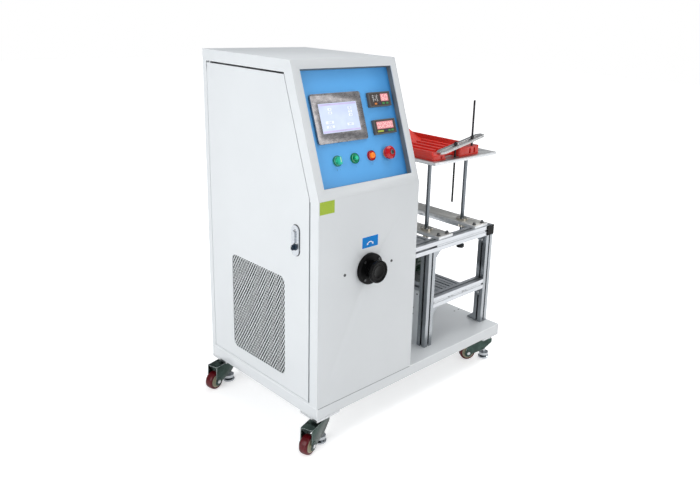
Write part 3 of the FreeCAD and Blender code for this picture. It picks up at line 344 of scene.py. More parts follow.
def make_finishes(colours):
    """One material for each real finish on the machine."""
    # Powder coat on sheet steel: satin, with a faint orange peel drawn at 2.5 mm so that it shows.
    grained("satin_powder_coat", tuple(colours.white_coat), 0.36, 0.0, 2.5, 0.014, 220.0, 0.975)
    # The base's coat is thicker and glossier, so it mirrors the posts that stand on it.
    grained("gloss_powder_coat", tuple(colours.white_coat), 0.14, 0.0, 5.0, 0.012, 220.0, 0.98, 0.03)
    # Painted highlight along the base tray's folded edges: paler and glossier than the flats.
    grained("painted_highlight_coat", linear("F4F6F7"), 0.12, 0.0, 5.0, 0.006, 60.0, 0.97, 0.03)
    blue_panel_with_painted_shade(tuple(colours.blue_low), tuple(colours.blue_painted_shade))
    # Moulded ABS: dull with a fine even grain where the mould is spark-eroded, or polished smooth.
    dull = {"Specular IOR Level": 0.1}
    grained("moulded_black_abs", tuple(colours.black_moulding), 0.42, 0.0, 0.9, 0.02, 30.0, 0.8,
            **dull)
    grained("polished_black_abs", tuple(colours.black_moulding), 0.26, 0.0, 6.0, 0.01, 30.0, 0.8,
            **dull)
    grained("dark_blue_abs", linear("102C40"), 0.3, 0.0, 2.0, 0.01, 8.0, 0.8)
    # Instrument cases: charcoal ABS, a shade lighter than the knob, so the windows stand out in them.
    grained("charcoal_abs", linear("5C5956"), 0.4, 0.0, 0.9, 0.02, 30.0, 0.85)
    # Dead matt strips: black rubber for the door's seal and the latch's gasket, and grey for the seam at the
    # front's foot, the door's front gap and the panel's recess, where the grey is painted shade on its walls.
    grained("black_rubber", linear("1B1C1E"), 0.75, 0.0, 0.8, 0.01, 20.0, 0.85)
    grained("grey_seam_and_painted_shade", linear("6F767B"), 0.7, 0.0, 0.8, 0.01, 30.0, 0.9)
    # Foam pad behind the window, with 3 mm pores in its relief; its near-black colour is painted shade for
    # the cabinet's inside seen through the mesh.
    grained("foam_painted_shade", linear("272B2F"), 0.9, 0.0, 3.0, 0.8, 40.0, 0.7)
    # Cases of the control gear: matt light grey, with a fine grain.
    grained("moulded_grey_abs", linear("A9ACB0"), 0.45, 0.0, 0.9, 0.02, 40.0, 0.94)
    # Silver paint over moulded plastic: metal flake gives a cloudy, half-mirror look.
    grained("silver_painted_surround", tuple(colours.screen_surround), 0.3, 0.75, (14.0, 3.0, 3.0), 0.05,
            16.0, 0.62, 0.14)
    # Gloss-moulded acetal and acrylic caps of the switches: clear colour with a tight highlight.
    for name, value in (("gloss_selector_green", colours.selector_green),
                        ("gloss_pale_green", colours.selector_ring),
                        ("gloss_button_green", colours.button_green),
                        ("gloss_stop_red", colours.stop_red),
                        ("gloss_stop_base", colours.stop_base)):
        grained(name, tuple(value), 0.11, 0.0, 4.0, 0.008, 12.0, 0.86, 0.04)
    lit("lit_orange_cap", tuple(colours.button_orange), 0.7, 6.0)
    lit("lit_screen", tuple(colours.screen_light), 0.85, 45.0)
    lit("lit_field", linear("E6ECFF"), 0.95, 20.0)
    lit("lit_band", linear("CFC6EE"), 0.78, 30.0)
    lit("lit_digit", tuple(colours.digit_light), 0.85, 4.0)
    lit("lit_window", linear("E8949A"), 0.8, 14.0)
    grained("screen_ink", linear("6E86B8"), 0.5, 0.0, 0.5, 0.002, 8.0, 0.9)
    # Smoked acrylic over the counters: warm grey and glossy.
    grained("smoked_acrylic", linear("574F4C"), 0.12, 0.0, 8.0, 0.004, 20.0, 0.8, 0.02)
    # Rubber keys of the counters: soft, slightly dusty colour.
    for name, code in (("key_orange", "E98A3C"), ("key_lime", "B8C84A"), ("key_green", "3F9A4E"),
                       ("key_navy", "25355E")):
        grained(name, linear(code), 0.55, 0.0, 0.7, 0.01, 6.0, 0.88)
    # Drawn and anodised aluminium: die lines along the profile, soft grey mirror across them. The copy on the
    # upright posts and brackets is darker, as painted shade.
    grained("anodised_profile_z_painted_shade", linear("A2A6AA"), 0.22, 0.9, (0.9, 0.9, 160.0), 0.012, 90.0, 0.93)
    grained("anodised_profile_y", linear("C6C9CD"), 0.3, 0.9, (0.9, 160.0, 0.9), 0.012, 90.0, 0.93)
    # Ground plates: fine cross lines from the belt, duller than the profile.
    grained("ground_aluminium", linear("BEBEBD"), 0.3, 0.85, (60.0, 0.8, 0.8), 0.02, 70.0, 0.9)
    grained("ground_steel", linear("C6C4BF"), 0.34, 0.8, (0.9, 70.0, 0.9), 0.02, 60.0, 0.88)
    # Induction-hardened shafts, ground bright; their steel is held far darker than bare steel, as a painted
    # dark reflection.
    grained("shaft_steel_painted_dark_reflection", linear("6C7176"), 0.16, 1.0, (0.8, 0.8, 20.0), 0.002, 50.0, 0.9, 0.05)
    # Hard-chromed feet: a clean mirror, a little darker than bare chrome as a painted dark reflection.
    grained("chrome_painted_dark_reflection", linear("B2B6BA"), 0.09, 1.0, (1.2, 1.2, 30.0), 0.001, 40.0, 0.97, 0.03)
    # Satin chrome on the latch: a greyer, softer mirror.
    grained("satin_chrome", linear("BFC3C8"), 0.26, 1.0, (1.2, 1.2, 12.0), 0.004, 30.0, 0.9, 0.06)
    # Nickel on the bearing flanges: a faintly warm mirror.
    grained("bright_nickel", linear("CFC9BC"), 0.18, 1.0, 1.2, 0.004, 20.0, 0.88, 0.05)
    # Blackened screws on the bearing plates and the front: grey where the oil has worn off.
    grained("worn_screw_steel", linear("6E6F70"), 0.3, 1.0, 1.0, 0.01, 5.0, 0.6, 0.12)
    # Cut edges of the plates, strap and forks: bare metal paler than the face, which is also a painted
    # highlight along the edges.
    grained("bright_cut_edge", linear("E6E8EA"), 0.35, 0.6, 1.0, 0.006, 12.0, 0.85, 0.1)
    # Bright zinc on the small screws, and the dull green passivate on the caster forks.
    grained("bright_zinc", linear("C6C8CA"), 0.28, 1.0, 2.0, 0.01, 8.0, 0.85, 0.1)
    grained("green_passivated_zinc", linear("3E4F49"), 0.24, 0.85, 3.0, 0.012, 22.0, 0.6, 0.12)
    # Black oxide on the stop discs and threaded rods, a dry, almost sooty dark, and the turned screw.
    grained("black_oxide_steel", linear("2A2A2C"), 0.4, 0.8, 1.2, 0.012, 12.0, 0.75)
    threaded("black_threaded_steel", linear("38383A"), 0.38, 2.0, 0.25, "Z")
    threaded("turned_screw_steel", linear("9C9A96"), 0.3, 5.0, 0.6, "Z")
    # Injection-moulded red ABS: deep and glossy, with slow waves from cooling.
    grained("gloss_red_abs", tuple(colours.cradle_red), 0.24, 0.0, 9.0, 0.03, 70.0, 0.88, 0.06)
    # Cast polyurethane tyre: waxy deep red with scuffs. Nylon hub: matt cream.
    grained("cast_polyurethane", tuple(colours.tyre_red), 0.3, 0.0, 1.5, 0.03, 14.0, 0.7, 0.2,
            **{"Specular IOR Level": 0.3})
    grained("moulded_nylon", tuple(colours.hub_cream), 0.48, 0.0, 1.0, 0.015, 10.0, 0.85)
    # Hammered enamel on the drives: dimples 5 mm across.
    grained("hammered_enamel", tuple(colours.drive_green), 0.3, 0.0, 5.0, 0.25, 40.0, 0.7)
    # Self-adhesive vinyl and printed ink: smooth and even.
    grained("blue_vinyl", tuple(colours.label_blue), 0.3, 0.0, 3.0, 0.003, 25.0, 0.93, **dull)
    grained("white_vinyl", linear("F1F3F5"), 0.35, 0.0, 3.0, 0.003, 25.0, 0.97)
    grained("lime_vinyl", tuple(colours.sticker_lime), 0.4, 0.0, 1.4, 0.01, 5.0, 0.86)
    grained("panel_ink", linear("2A5C96"), 0.4, 0.0, 1.0, 0.002, 10.0, 0.9)
    # Open tapped holes: black, since nothing lights their depth.
    grained("dark_hole", linear("15161A"), 0.7, 0.0, 1.0, 0.01, 5.0, 0.8)
    # White dip-coat on the expanded mesh. Its diamonds are drawn a little coarse so that they show.
    grained("white_dipped_mesh", linear("F2F5F6"), 0.4, 0.0, 6.0, 0.01, 30.0, 0.93, 0.1)
    # Galvanised sheet of the mounting plate: large soft spangle.
    grained("galvanised_sheet", linear("8E9296"), 0.42, 0.85, 12.0, 0.01, 18.0, 0.82, 0.12)


# Shapes. Each one adds to a bmesh, with sizes in millimetres and places in the frame.

def basis(axis):
    """Two directions across an axis."""
    across = RIGHT_X if abs(axis.dot(RIGHT_X)) < 0.9 else REAR_Y
    first = axis.cross(across).normalized()
    return first, axis.cross(first).normalized()


def bridge(shape, low, high):
    """Faces between two rings of equal count, either of which may be one point."""
    count = max(len(low), len(high))
    for i in range(count):
        j = (i + 1) % count
        if len(low) == 1:
            shape.faces.new((low[0], high[j], high[i]))
        elif len(high) == 1:
            shape.faces.new((low[i], low[j], high[0]))
        else:
            shape.faces.new((low[i], low[j], high[j], high[i]))


def ring(shape, centre, axis, radius, height, steps, sides=0):
    """A ring of points, round, or with flat sides for a socket or nut. No radius gives one point."""
    middle = centre + axis * height * MM
    if radius == 0:
        return [shape.verts.new(middle)]
    first, second = basis(axis)
    made = []
    for i in range(steps):
        turn = 2 * math.pi * i / steps
        reach = radius
        if sides:
            part = math.pi / sides
            reach = radius * math.cos(part) / math.cos((turn % (2 * part)) - part)
        made.append(shape.verts.new(middle + (first * math.cos(turn) + second * math.sin(turn)) * reach * MM))
    return made


def turned(shape, profile, centre, axis, steps=32, closed=False):
    """Revolves (radius, height) or (radius, height, sides) points about an axis."""
    rings = [ring(shape, centre, axis, p[0], p[1], steps, p[2] if len(p) > 2 else 0) for p in profile]
    for low, high in zip(rings, rings[1:]):
        bridge(shape, low, high)
    if closed:
        bridge(shape, rings[-1], rings[0])


def socket_screw(shape, centre, axis, radius, height):
    """A round head with a hexagon socket."""
    key = radius * 0.5
    turned(shape, [(radius, 0), (radius, height * 0.82), (radius * 0.86, height), (key, height, 6),
                   (key, height * 0.35, 6), (0, height * 0.3)], centre, axis, 24)


def button_screw(shape, centre, axis, radius, height):
    """A low domed head with a hexagon socket."""
    key = radius * 0.4
    turned(shape, [(radius, 0), (radius * 0.94, height * 0.45), (radius * 0.72, height * 0.85),
                   (key, height, 6), (key, height * 0.4, 6), (0, height * 0.35)], centre, axis, 24)


def hex_head(shape, centre, axis, radius, height):
    """A hexagon head on its washer."""
    turned(shape, [(radius * 1.3, 0), (radius * 1.3, height * 0.2), (radius, height * 0.2, 6),
                   (radius, height * 0.9, 6), (radius * 0.8, height), (0, height)], centre, axis, 24)


def rounded_outline(width, height, radius, steps=5):
    """Points (right, up) round a rectangle with round corners, about its centre."""
    points = []
    for turn, sx, sy in ((0, 1, 1), (90, -1, 1), (180, -1, -1), (270, 1, -1)):
        cx, cy = sx * (width / 2 - radius), sy * (height / 2 - radius)
        for i in range(steps + 1):
            a = math.radians(turn + 90 * i / steps)
            points.append((cx + radius * math.cos(a), cy + radius * math.sin(a)))
    return points


def square_outline(width, height):
    """The corners (right, up) of a rectangle about its centre."""
    u, v = width / 2, height / 2
    return [(-u, -v), (u, -v), (u, v), (-u, v)]


def slab(shape, outline, centre, right, up, thickness, edge=0.0):
    """A flat plate on its outline of (right, up) points, with an optional chamfer round its face."""
    out = right.cross(up).normalized()
    span = max(max(abs(u), abs(v)) for u, v in outline)
    levels = [(1.0, 0.0), (1.0, thickness - edge)]
    if edge:
        levels.append((1 - edge / span, thickness))
    rings = []
    for share, level in levels:
        rings.append([shape.verts.new(centre + (right * u * share + up * v * share + out * level) * MM)
                      for u, v in outline])
    shape.faces.new(list(reversed(rings[0])))
    for low, high in zip(rings, rings[1:]):
        bridge(shape, low, high)
    shape.faces.new(rings[-1])


def panel_slab(shape, outline, across, along, height, thickness, edge=0.0):
    """A flat plate that lies on the sloping panel."""
    slab(shape, outline, on_slope(across, along, height), RIGHT_X, SLOPE_UP, thickness, edge)


# The bars of each digit, lettered clockwise from the top, with g across the middle
SEGMENTS = {"0": "abcdef", "1": "bc", "2": "abdeg", "3": "abcdg", "4": "bcfg", "5": "acdfg", "6": "acdefg",
            "7": "abc", "8": "abcdefg", "9": "abcdfg"}


def digits(shape, text, centre, height, weight, pitch, thickness):
    """Seven-bar numbers on the sloping panel, centred on a point."""
    right, up = RIGHT_X, SLOPE_UP
    half = height / 2
    reach = half * 0.5
    places = {"a": (0, half, 0), "g": (0, 0, 0), "d": (0, -half, 0), "f": (-reach, half / 2, 1),
              "b": (reach, half / 2, 1), "e": (-reach, -half / 2, 1), "c": (reach, -half / 2, 1)}
    for i, letter in enumerate(text):
        shift = (i - (len(text) - 1) / 2) * pitch
        for bar in SEGMENTS[letter]:
            u, v, standing = places[bar]
            long_side = (half if standing else 2 * reach) - weight * 0.5
            outline = [(-long_side / 2, 0), (-long_side / 2 + weight / 2, -weight / 2),
                       (long_side / 2 - weight / 2, -weight / 2), (long_side / 2, 0),
                       (long_side / 2 - weight / 2, weight / 2), (-long_side / 2 + weight / 2, weight / 2)]
            middle = centre + (right * (u + shift) + up * v) * MM
            if standing:
                slab(shape, outline, middle, up, -right, thickness)
            else:
                slab(shape, outline, middle, right, up, thickness)


def piece(name, shape, finish, body="machine", stands_for=(), sharp=35.0):
    """Makes the shape an object in its place, with its finish, and lets it ride on a body."""
    bmesh.ops.recalc_face_normals(shape, faces=shape.faces)
    mesh = bpy.data.meshes.new(name)
    shape.to_mesh(mesh)
    shape.free()
    mesh.shade_smooth()
    mesh.set_sharp_from_angle(angle=math.radians(sharp))
    made = bpy.data.objects.new(name, mesh)
    bpy.context.scene.collection.objects.link(made)
    made.data.materials.append(finishes[finish])
    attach(made, body)
    if stands_for:
        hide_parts(*stands_for)
    return made


def eased(node, width, finish, body, segments=2, wear_and_sheen=None, cut_sides_and_highlight=False):
    """A copy of a node with its sharp edges rounded, shown in the node's place. The rounded edges
    may have a paler finish of their own, a painted highlight along them, which on cut metal is its
    bare edge too; so may the upright sides of a plate."""
    shape = bmesh.new()
    shape.from_mesh(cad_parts[node].data)
    bmesh.ops.remove_doubles(shape, verts=shape.verts, dist=1e-6)
    bmesh.ops.dissolve_limit(shape, angle_limit=math.radians(1.0), verts=shape.verts, edges=shape.edges)
    sharp = [e for e in shape.edges if e.is_manifold and e.calc_face_angle(0.0) > SHARP_EDGE]
    bmesh.ops.bevel(shape, geom=sharp, offset=width, offset_type="OFFSET", segments=segments, profile=0.5,
                    affect="EDGES", clamp_overlap=True, material=1 if wear_and_sheen else -1)
    made = piece(node + "_eased", shape, finish, body, (node,))
    if wear_and_sheen:
        made.data.materials.append(finishes[wear_and_sheen])
    if cut_sides_and_highlight:
        for face in made.data.polygons:
            if abs(face.normal.z) < 0.2:
                face.material_index = 1
    return made


def finish_node(node, finish):
    """Gives a solid its finish, in its own material slots."""
    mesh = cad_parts[node].data
    mesh.materials.clear()
    mesh.materials.append(finishes[finish])
    mesh.shade_smooth()
    mesh.set_sharp_from_angle(angle=SHARP_EDGE)


# Operators

class TESTER_OT_finish_solids(bpy.types.Operator):
    """Gives the solids that are shown as they are their finishes"""

    bl_idname = "tester.finish_solids"
    bl_label = "Finish the solids"

    FINISHES = {
        "satin_powder_coat": ("rear_cover", "side_frame", "door_sheet", "frame_side_sheet"),
        "printed_blue_with_painted_shade": ("control_panel",),
        "moulded_black_abs": ("power_inlet", "switch_bodies", "knob_flange"),
        "polished_black_abs": ("rail_end_caps",),
        "moulded_grey_abs": ("control_gear",),
        "lit_screen": ("touch_screen_glass",),
        "gloss_selector_green": ("selector_knob",),
        "gloss_button_green": ("green_button",),
        "lit_orange_cap": ("orange_button",),
        "gloss_stop_red": ("stop_button",),
        "hammered_enamel": ("swing_drive", "lift_drive"),
        "galvanised_sheet": ("mounting_plate", "drive_stand"),
        # Posts and brackets: anodised profile, darker as painted shade.
        "anodised_profile_z_painted_shade": ("frame_posts", "corner_brackets"),
        "anodised_profile_y": ("upper_rails", "lower_rails", "shelf_rails"),
        "ground_steel": ("knob_shaft", "lift_tube"),
        "bright_zinc": ("latch_key", "caster_pads"),
        "bright_nickel": ("linear_bearings",),
        "shaft_steel_painted_dark_reflection": ("guide_shafts",),
        "satin_chrome": ("latch_plate",),
        "black_oxide_steel": ("shaft_stop_discs",),
        "turned_screw_steel": ("lift_screw",),
        "black_threaded_steel": ("clamp_stud", "heel_screw"),
    }

    def execute(self, context):
        make_finishes(context.scene.tester_colours)
        for finish, nodes in self.FINISHES.items():
            for node in nodes:
                finish_node(node, finish)
        for place in CASTERS:
            finish_node("levelling_foot_" + place, "chrome_painted_dark_reflection")
            finish_node("caster_fork_" + place, "green_passivated_zinc")
            finish_node("caster_wheel_" + place, "cast_polyurethane")
        finish_node("base_tray", "gloss_powder_coat")
        for node in ("front_cover", "slant_frame", "top_cover", "right_side"):
            finish_node(node, "satin_powder_coat")
        for node in ("table_plate", "bearing_plates", "clamp_strap"):
            finish_node(node, "ground_aluminium")
        finish_node("door_mesh", "satin_powder_coat")
        finish_node("hand_knob", "moulded_black_abs")
        finish_node("counters", "charcoal_abs")
        finish_node("touch_screen_housing", "silver_painted_surround")
        finish_node("cradle", "gloss_red_abs")
        return {"FINISHED"}


class TESTER_OT_ease_sheets(bpy.types.Operator):
    """Rounds the edges of the folded sheets, machined plates and mouldings"""

    bl_idname = "tester.ease_sheets"
    bl_label = "Round the edges"

    def execute(self, context):
        sizes = context.scene.tester_sizes
        # The base tray's rounded edges take the paler coat: a painted highlight along its folds.
        eased("base_tray", sizes.base_edge, "gloss_powder_coat", "machine", 4,
              wear_and_sheen="painted_highlight_coat")
        for node in ("front_cover", "slant_frame", "top_cover", "right_side"):
            eased(node, sizes.sheet_edge, "satin_powder_coat", "machine")
        # The plates' and strap's rounded edges and the plates' upright sides take pale bare metal that is
        # also a painted highlight.
        eased("table_plate", sizes.plate_edge, "ground_aluminium", "table", wear_and_sheen="bright_cut_edge",
              cut_sides_and_highlight=True)
        eased("bearing_plates", sizes.plate_edge, "ground_steel", "machine", wear_and_sheen="bright_cut_edge",
              cut_sides_and_highlight=True)
        eased("clamp_strap", sizes.plate_edge, "ground_aluminium", "clamp", wear_and_sheen="bright_cut_edge")
        eased("cradle", sizes.moulded_edge, "gloss_red_abs", "table", 3)
        eased("touch_screen_housing", sizes.plate_edge, "silver_painted_surround", "machine")
        eased("counters", sizes.plate_edge, "charcoal_abs", "machine")
        # The forks' rounded edges: bare cut metal, paler as a painted highlight too.
        for place in CASTERS:
            eased("caster_fork_" + place, sizes.fork_edge, "green_passivated_zinc", "fork_" + place,
                  wear_and_sheen="bright_cut_edge")
        return {"FINISHED"}


class TESTER_OT_screen(bpy.types.Operator):
    """Draws the plain fields of the touch screen, and lines the panel's recess with grey strips that are
    painted shade on its walls
    """

    bl_idname = "tester.screen"
    bl_label = "Touch screen fields"

    def execute(self, context):
        fields, bands, ink = bmesh.new(), bmesh.new(), bmesh.new()
        middle, centre = SCREEN_MIDDLE
        for along in (centre + 41.5, centre - 41.5):
            panel_slab(bands, rounded_outline(151, 5.5, 0.5, 1), middle, along, SCREEN_FACE, 0.2)
        for right, up, width, text in ((-36, 27, 15, "12"), (-36, 16, 15, "60"), (46, 27, 15, "90"),
                                       (46, 16, 15, "45"), (46, 5, 15, "30"), (-44, -13, 32, "1000"),
                                       (-44, -27, 32, "2500"), (38, -24, 26, "360")):
            spot = on_slope(middle + right, centre + up, SCREEN_FACE)
            slab(fields, rounded_outline(width, 8, 1.2, 3), spot, RIGHT_X, SLOPE_UP, 0.25)
            digits(ink, text, spot + SLOPE_OUT * 0.25 * MM, 4.6, 0.7, 4.2, 0.1)
        piece("screen_bands", bands, "lit_band")
        piece("screen_fields", fields, "lit_field")
        piece("screen_numbers", ink, "screen_ink")
        # Grey strips on the recess walls: painted shade where the walls stand deep.
        shade_liner = bmesh.new()
        left, right = PANEL_SIDES
        low, high = PANEL_ENDS
        deep = -PANEL_FACE - 3.0
        for across, along, wide, tall in ((left + 0.3, (low + high) / 2, 0.5, high - low),
                                          (right - 0.3, (low + high) / 2, 0.5, high - low),
                                          ((left + right) / 2, low + 0.3, right - left, 0.5),
                                          ((left + right) / 2, high - 0.3, right - left, 0.5)):
            panel_slab(shade_liner, square_outline(wide, tall), across, along, PANEL_FACE, deep)
        piece("panel_shade_liner", shade_liner, "grey_seam_and_painted_shade")
        return {"FINISHED"}


class TESTER_OT_counters(bpy.types.Operator):
    """Adds the windows, lit digits and keys of the two counters"""

    bl_idname = "tester.counters"
    bl_label = "Counter windows and keys"

    def execute(self, context):
        middle = COUNTER_ACROSS
        face, lit_bars, grey_bars, glow = bmesh.new(), bmesh.new(), bmesh.new(), bmesh.new()
        keys = {name: bmesh.new() for name in ("key_orange", "key_lime", "key_green", "key_navy")}
        lower, upper = COUNTER_ALONG
        for along in (lower, upper):
            panel_slab(face, rounded_outline(87.5, 39.5, 1.5, 3), middle, along, COUNTER_FLOOR, 0.5)
        top = COUNTER_FLOOR + 0.5
        half_shift, window_rise, key_drop = 21, 5, 14.2
        panel_slab(glow, rounded_outline(74, 24, 1.5, 3), middle, lower + window_rise, top, 0.25)
        panel_slab(glow, rounded_outline(34, 24, 1.5, 3), middle + half_shift, upper + window_rise, top, 0.25)
        digits(lit_bars, "002500", on_slope(middle, lower + window_rise, top + 0.25), 15, 2.2, 11.6, 0.15)
        digits(lit_bars, "60", on_slope(middle + half_shift, upper + window_rise, top + 0.25), 16, 2.6, 14.0,
               0.15)
        for text, rise in (("012", 10), ("345", -1)):
            digits(grey_bars, text, on_slope(middle - half_shift, upper + rise, top), 8, 1.3, 9.0, 0.2)
        rows = ((lower, (("key_lime", -24, 26), ("key_navy", 2, 9), ("key_green", 15, 9),
                         ("key_green", 30, 12))),
                (upper, (("key_orange", -22, 10), ("key_navy", -4, 9), ("key_green", 13, 10),
                         ("key_green", 30, 10))))
        for along, row in rows:
            for name, shift, width in row:
                panel_slab(keys[name], rounded_outline(width, 5.6, 1.4, 3), middle + shift,
                           along - key_drop, top, 1.1, 0.3)
        piece("counter_faces", face, "smoked_acrylic")
        piece("counter_glow", glow, "lit_window")
        piece("counter_digits", lit_bars, "lit_digit")
        piece("counter_grey_digits", grey_bars, "white_vinyl")
        for name, shape in keys.items():
            piece("counter_" + name, shape, name)
        return {"FINISHED"}


class TESTER_OT_switches(bpy.types.Operator):
    """Adds the coloured rings, the stop button's key centre, the lenses and the marks of the switches"""

    bl_idname = "tester.switches"
    bl_label = "Switch rings and marks"

    def execute(self, context):
        rings = (("gloss_pale_green", "selector_ring", "green_plastic"),
                 ("gloss_button_green", "green_button_ring", "green_plastic"),
                 ("gloss_stop_red", "orange_button_ring", "red_plastic"),
                 ("gloss_stop_base", "stop_button_ring", "orange_plastic"))
        for across, (finish, name, slot) in zip(SWITCH_ACROSS, rings):
            shape = bmesh.new()
            # The stop button comes down to 5.3 mm over the panel, so the ring under it stays lower.
            crown = ((10.6, 5.15), (14.6, 5.15)) if name == "stop_button_ring" else ((10.6, 6.0), (14.6, 5.6))
            turned(shape, [(9.5, 1.0), (9.5, 5.1), *crown, (16.8, 3.6), (17.0, 0.0), (13.0, 0.0)],
                   on_slope(across, SWITCH_ALONG, PANEL_FACE), SLOPE_OUT, 48, True)
            piece(name, shape, finish)
        pointer = bmesh.new()
        collar, grip = 1.5, 14.0
        panel_slab(pointer, rounded_outline(1.8, 16.0, 0.8, 3), SWITCH_ACROSS[0], SWITCH_ALONG + 2.5,
                   BEZEL_TOP + collar + grip, 0.3)
        piece("selector_pointer", pointer, "white_vinyl", "selector")
        centre = bmesh.new()
        collar, gap, head = 4.0, 0.3, 16.0
        stop_top = BEZEL_TOP + collar + gap + head
        turned(centre, [(8.0, 0.0), (8.0, 0.9), (7.0, 1.5), (2.6, 1.5), (2.6, 0.9), (0, 0.9)],
               on_slope(SWITCH_ACROSS[3], SWITCH_ALONG, stop_top), SLOPE_OUT, 32)
        panel_slab(centre, rounded_outline(1.4, 9.0, 0.6, 3), SWITCH_ACROSS[3], SWITCH_ALONG, stop_top + 1.5,
                   0.6)
        piece("stop_button_key", centre, "worn_screw_steel", "stop_button")
        lenses = (("green_button", SWITCH_ACROSS[1], [(6.4, 0.0), (6.0, 0.5), (0, 0.7)],
                   "gloss_selector_green", "green_plastic"),
                  ("orange_button", SWITCH_ACROSS[2], [(6.8, 0.0), (6.2, 0.5), (0, 0.8)],
                   "lit_orange_cap", "orange_plastic"))
        for body, across, profile, finish, slot in lenses:
            cap = bmesh.new()
            turned(cap, profile, on_slope(across, SWITCH_ALONG, BEZEL_TOP + BUTTON_RISE), SLOPE_OUT, 32)
            piece(body + "_lens", cap, finish, body)
        marks = bmesh.new()
        for text, across in (("0", SWITCH_ACROSS[0] - 6), ("1", SWITCH_ACROSS[0] + 6),
                             ("1", SWITCH_ACROSS[1]), ("0", SWITCH_ACROSS[2])):
            digits(marks, text, on_slope(across, SWITCH_ALONG - MARK_DROP, PANEL_FACE), 4, 0.6, 4, 0.1)
        piece("switch_marks", marks, "panel_ink")
        return {"FINISHED"}


class TESTER_OT_hand_knob(bpy.types.Operator):
    """Turns the hand knob with its dished face, and sets the front's screws and seam"""

    bl_idname = "tester.hand_knob"
    bl_label = "Hand knob"

    def execute(self, context):
        centre, out = at(*KNOB_CENTRE), -REAR_Y
        knob = bmesh.new()
        profile = [(10.2, 14.3), (29.0, 14.3), (30.0, 15.3), (30.0, 31.0), (31.0, 33.0), (35.5, 36.0),
                   (37.6, 38.6), (38.0, 41.0), (38.0, 45.5), (37.2, 48.2), (35.2, 49.7), (32.4, 50.0),
                   (30.6, 49.2), (29.4, 46.6), (22.0, 46.2), (20.8, 47.0), (19.6, 46.2), (0, 46.0)]
        turned(knob, profile, centre, out, 72)
        piece("hand_knob_turned", knob, "polished_black_abs", "knob", ("hand_knob",))
        seam = bmesh.new()
        slab(seam, rounded_outline(CABINET_WIDTH - 8, 1.6, 0.3, 1), at(CABINET_WIDTH / 2, 0, BASE_TOP),
             RIGHT_X, UP_Z, 0.3)
        piece("front_seam", seam, "grey_seam_and_painted_shade")
        screws = bmesh.new()
        for turn in (45, 135, 225, 315):
            a = math.radians(turn)
            reach = (RIGHT_X * math.cos(a) + UP_Z * math.sin(a)) * KNOB_CIRCLE * MM
            socket_screw(screws, centre + reach + out * KNOB_FLANGE * MM, out, 4.0, 3.0)
        for x, z in FRONT_SCREWS:
            button_screw(screws, at(x, 0, z), out, 5.0, 2.6)
        piece("front_screws", screws, "worn_screw_steel")
        return {"FINISHED"}


class TESTER_OT_labels(bpy.types.Operator):
    """Adds the blue label with its turning arrow, and the bare lime sticker"""

    bl_idname = "tester.labels"
    bl_label = "Label and sticker"

    def execute(self, context):
        sizes = context.scene.tester_sizes
        width, height = sizes.label_width / MM, sizes.label_height / MM
        centre = at(LABEL_CENTRE[0], 0, LABEL_CENTRE[1])
        edge, label, arrow, sticker = bmesh.new(), bmesh.new(), bmesh.new(), bmesh.new()
        slab(edge, rounded_outline(width + 2.4, height + 2.4, 1.6, 3), centre, RIGHT_X, UP_Z, 0.15)
        slab(label, rounded_outline(width, height, 1.2, 3), centre - REAR_Y * 0.15 * MM, RIGHT_X, UP_Z, 0.1)
        face = centre - REAR_Y * 0.25 * MM
        low, high, steps = math.radians(38), math.radians(142), 18
        outline = []
        for reach in (15.0, 11.6):
            turns = [low + (high - low) * i / steps for i in range(steps + 1)]
            if outline:
                turns.reverse()
            outline += [(reach * math.cos(a), reach * math.sin(a)) for a in turns]
        below = -13.0
        right, up = RIGHT_X, UP_Z
        rows = [[arrow.verts.new(face + (right * u + up * (v + below)) * MM - REAR_Y * level * MM)
                 for u, v in outline] for level in (0.0, 0.1)]
        half = steps + 1
        for level, flip in ((0, True), (1, False)):
            row = rows[level]
            for i in range(steps):
                quad = (row[i], row[i + 1], row[2 * half - 2 - i], row[2 * half - 1 - i])
                arrow.faces.new(tuple(reversed(quad)) if flip else quad)
        bridge(arrow, rows[0], rows[1])
        for turn, way in ((low, -1), (high, 1)):
            tip = Vector((math.cos(turn), math.sin(turn))) * 13.3
            tangent = Vector((-math.sin(turn), math.cos(turn))) * way
            side = Vector((math.cos(turn), math.sin(turn)))
            points = [tip + tangent * 6.5, tip + side * 4.6, tip - side * 4.6]
            if way > 0:
                points.reverse()
            slab(arrow, [(p.x, p.y + below) for p in points], face, right, up, 0.1)
        slab(sticker, rounded_outline(*STICKER_SIZE, 0.8, 2), at(STICKER_CENTRE[0], 0, STICKER_CENTRE[1]),
             RIGHT_X, UP_Z, 0.15)
        piece("label_edge", edge, "white_vinyl")
        piece("label_face", label, "blue_vinyl")
        piece("label_arrow", arrow, "white_vinyl")
        piece("lime_sticker", sticker, "lime_vinyl")
        return {"FINISHED"}


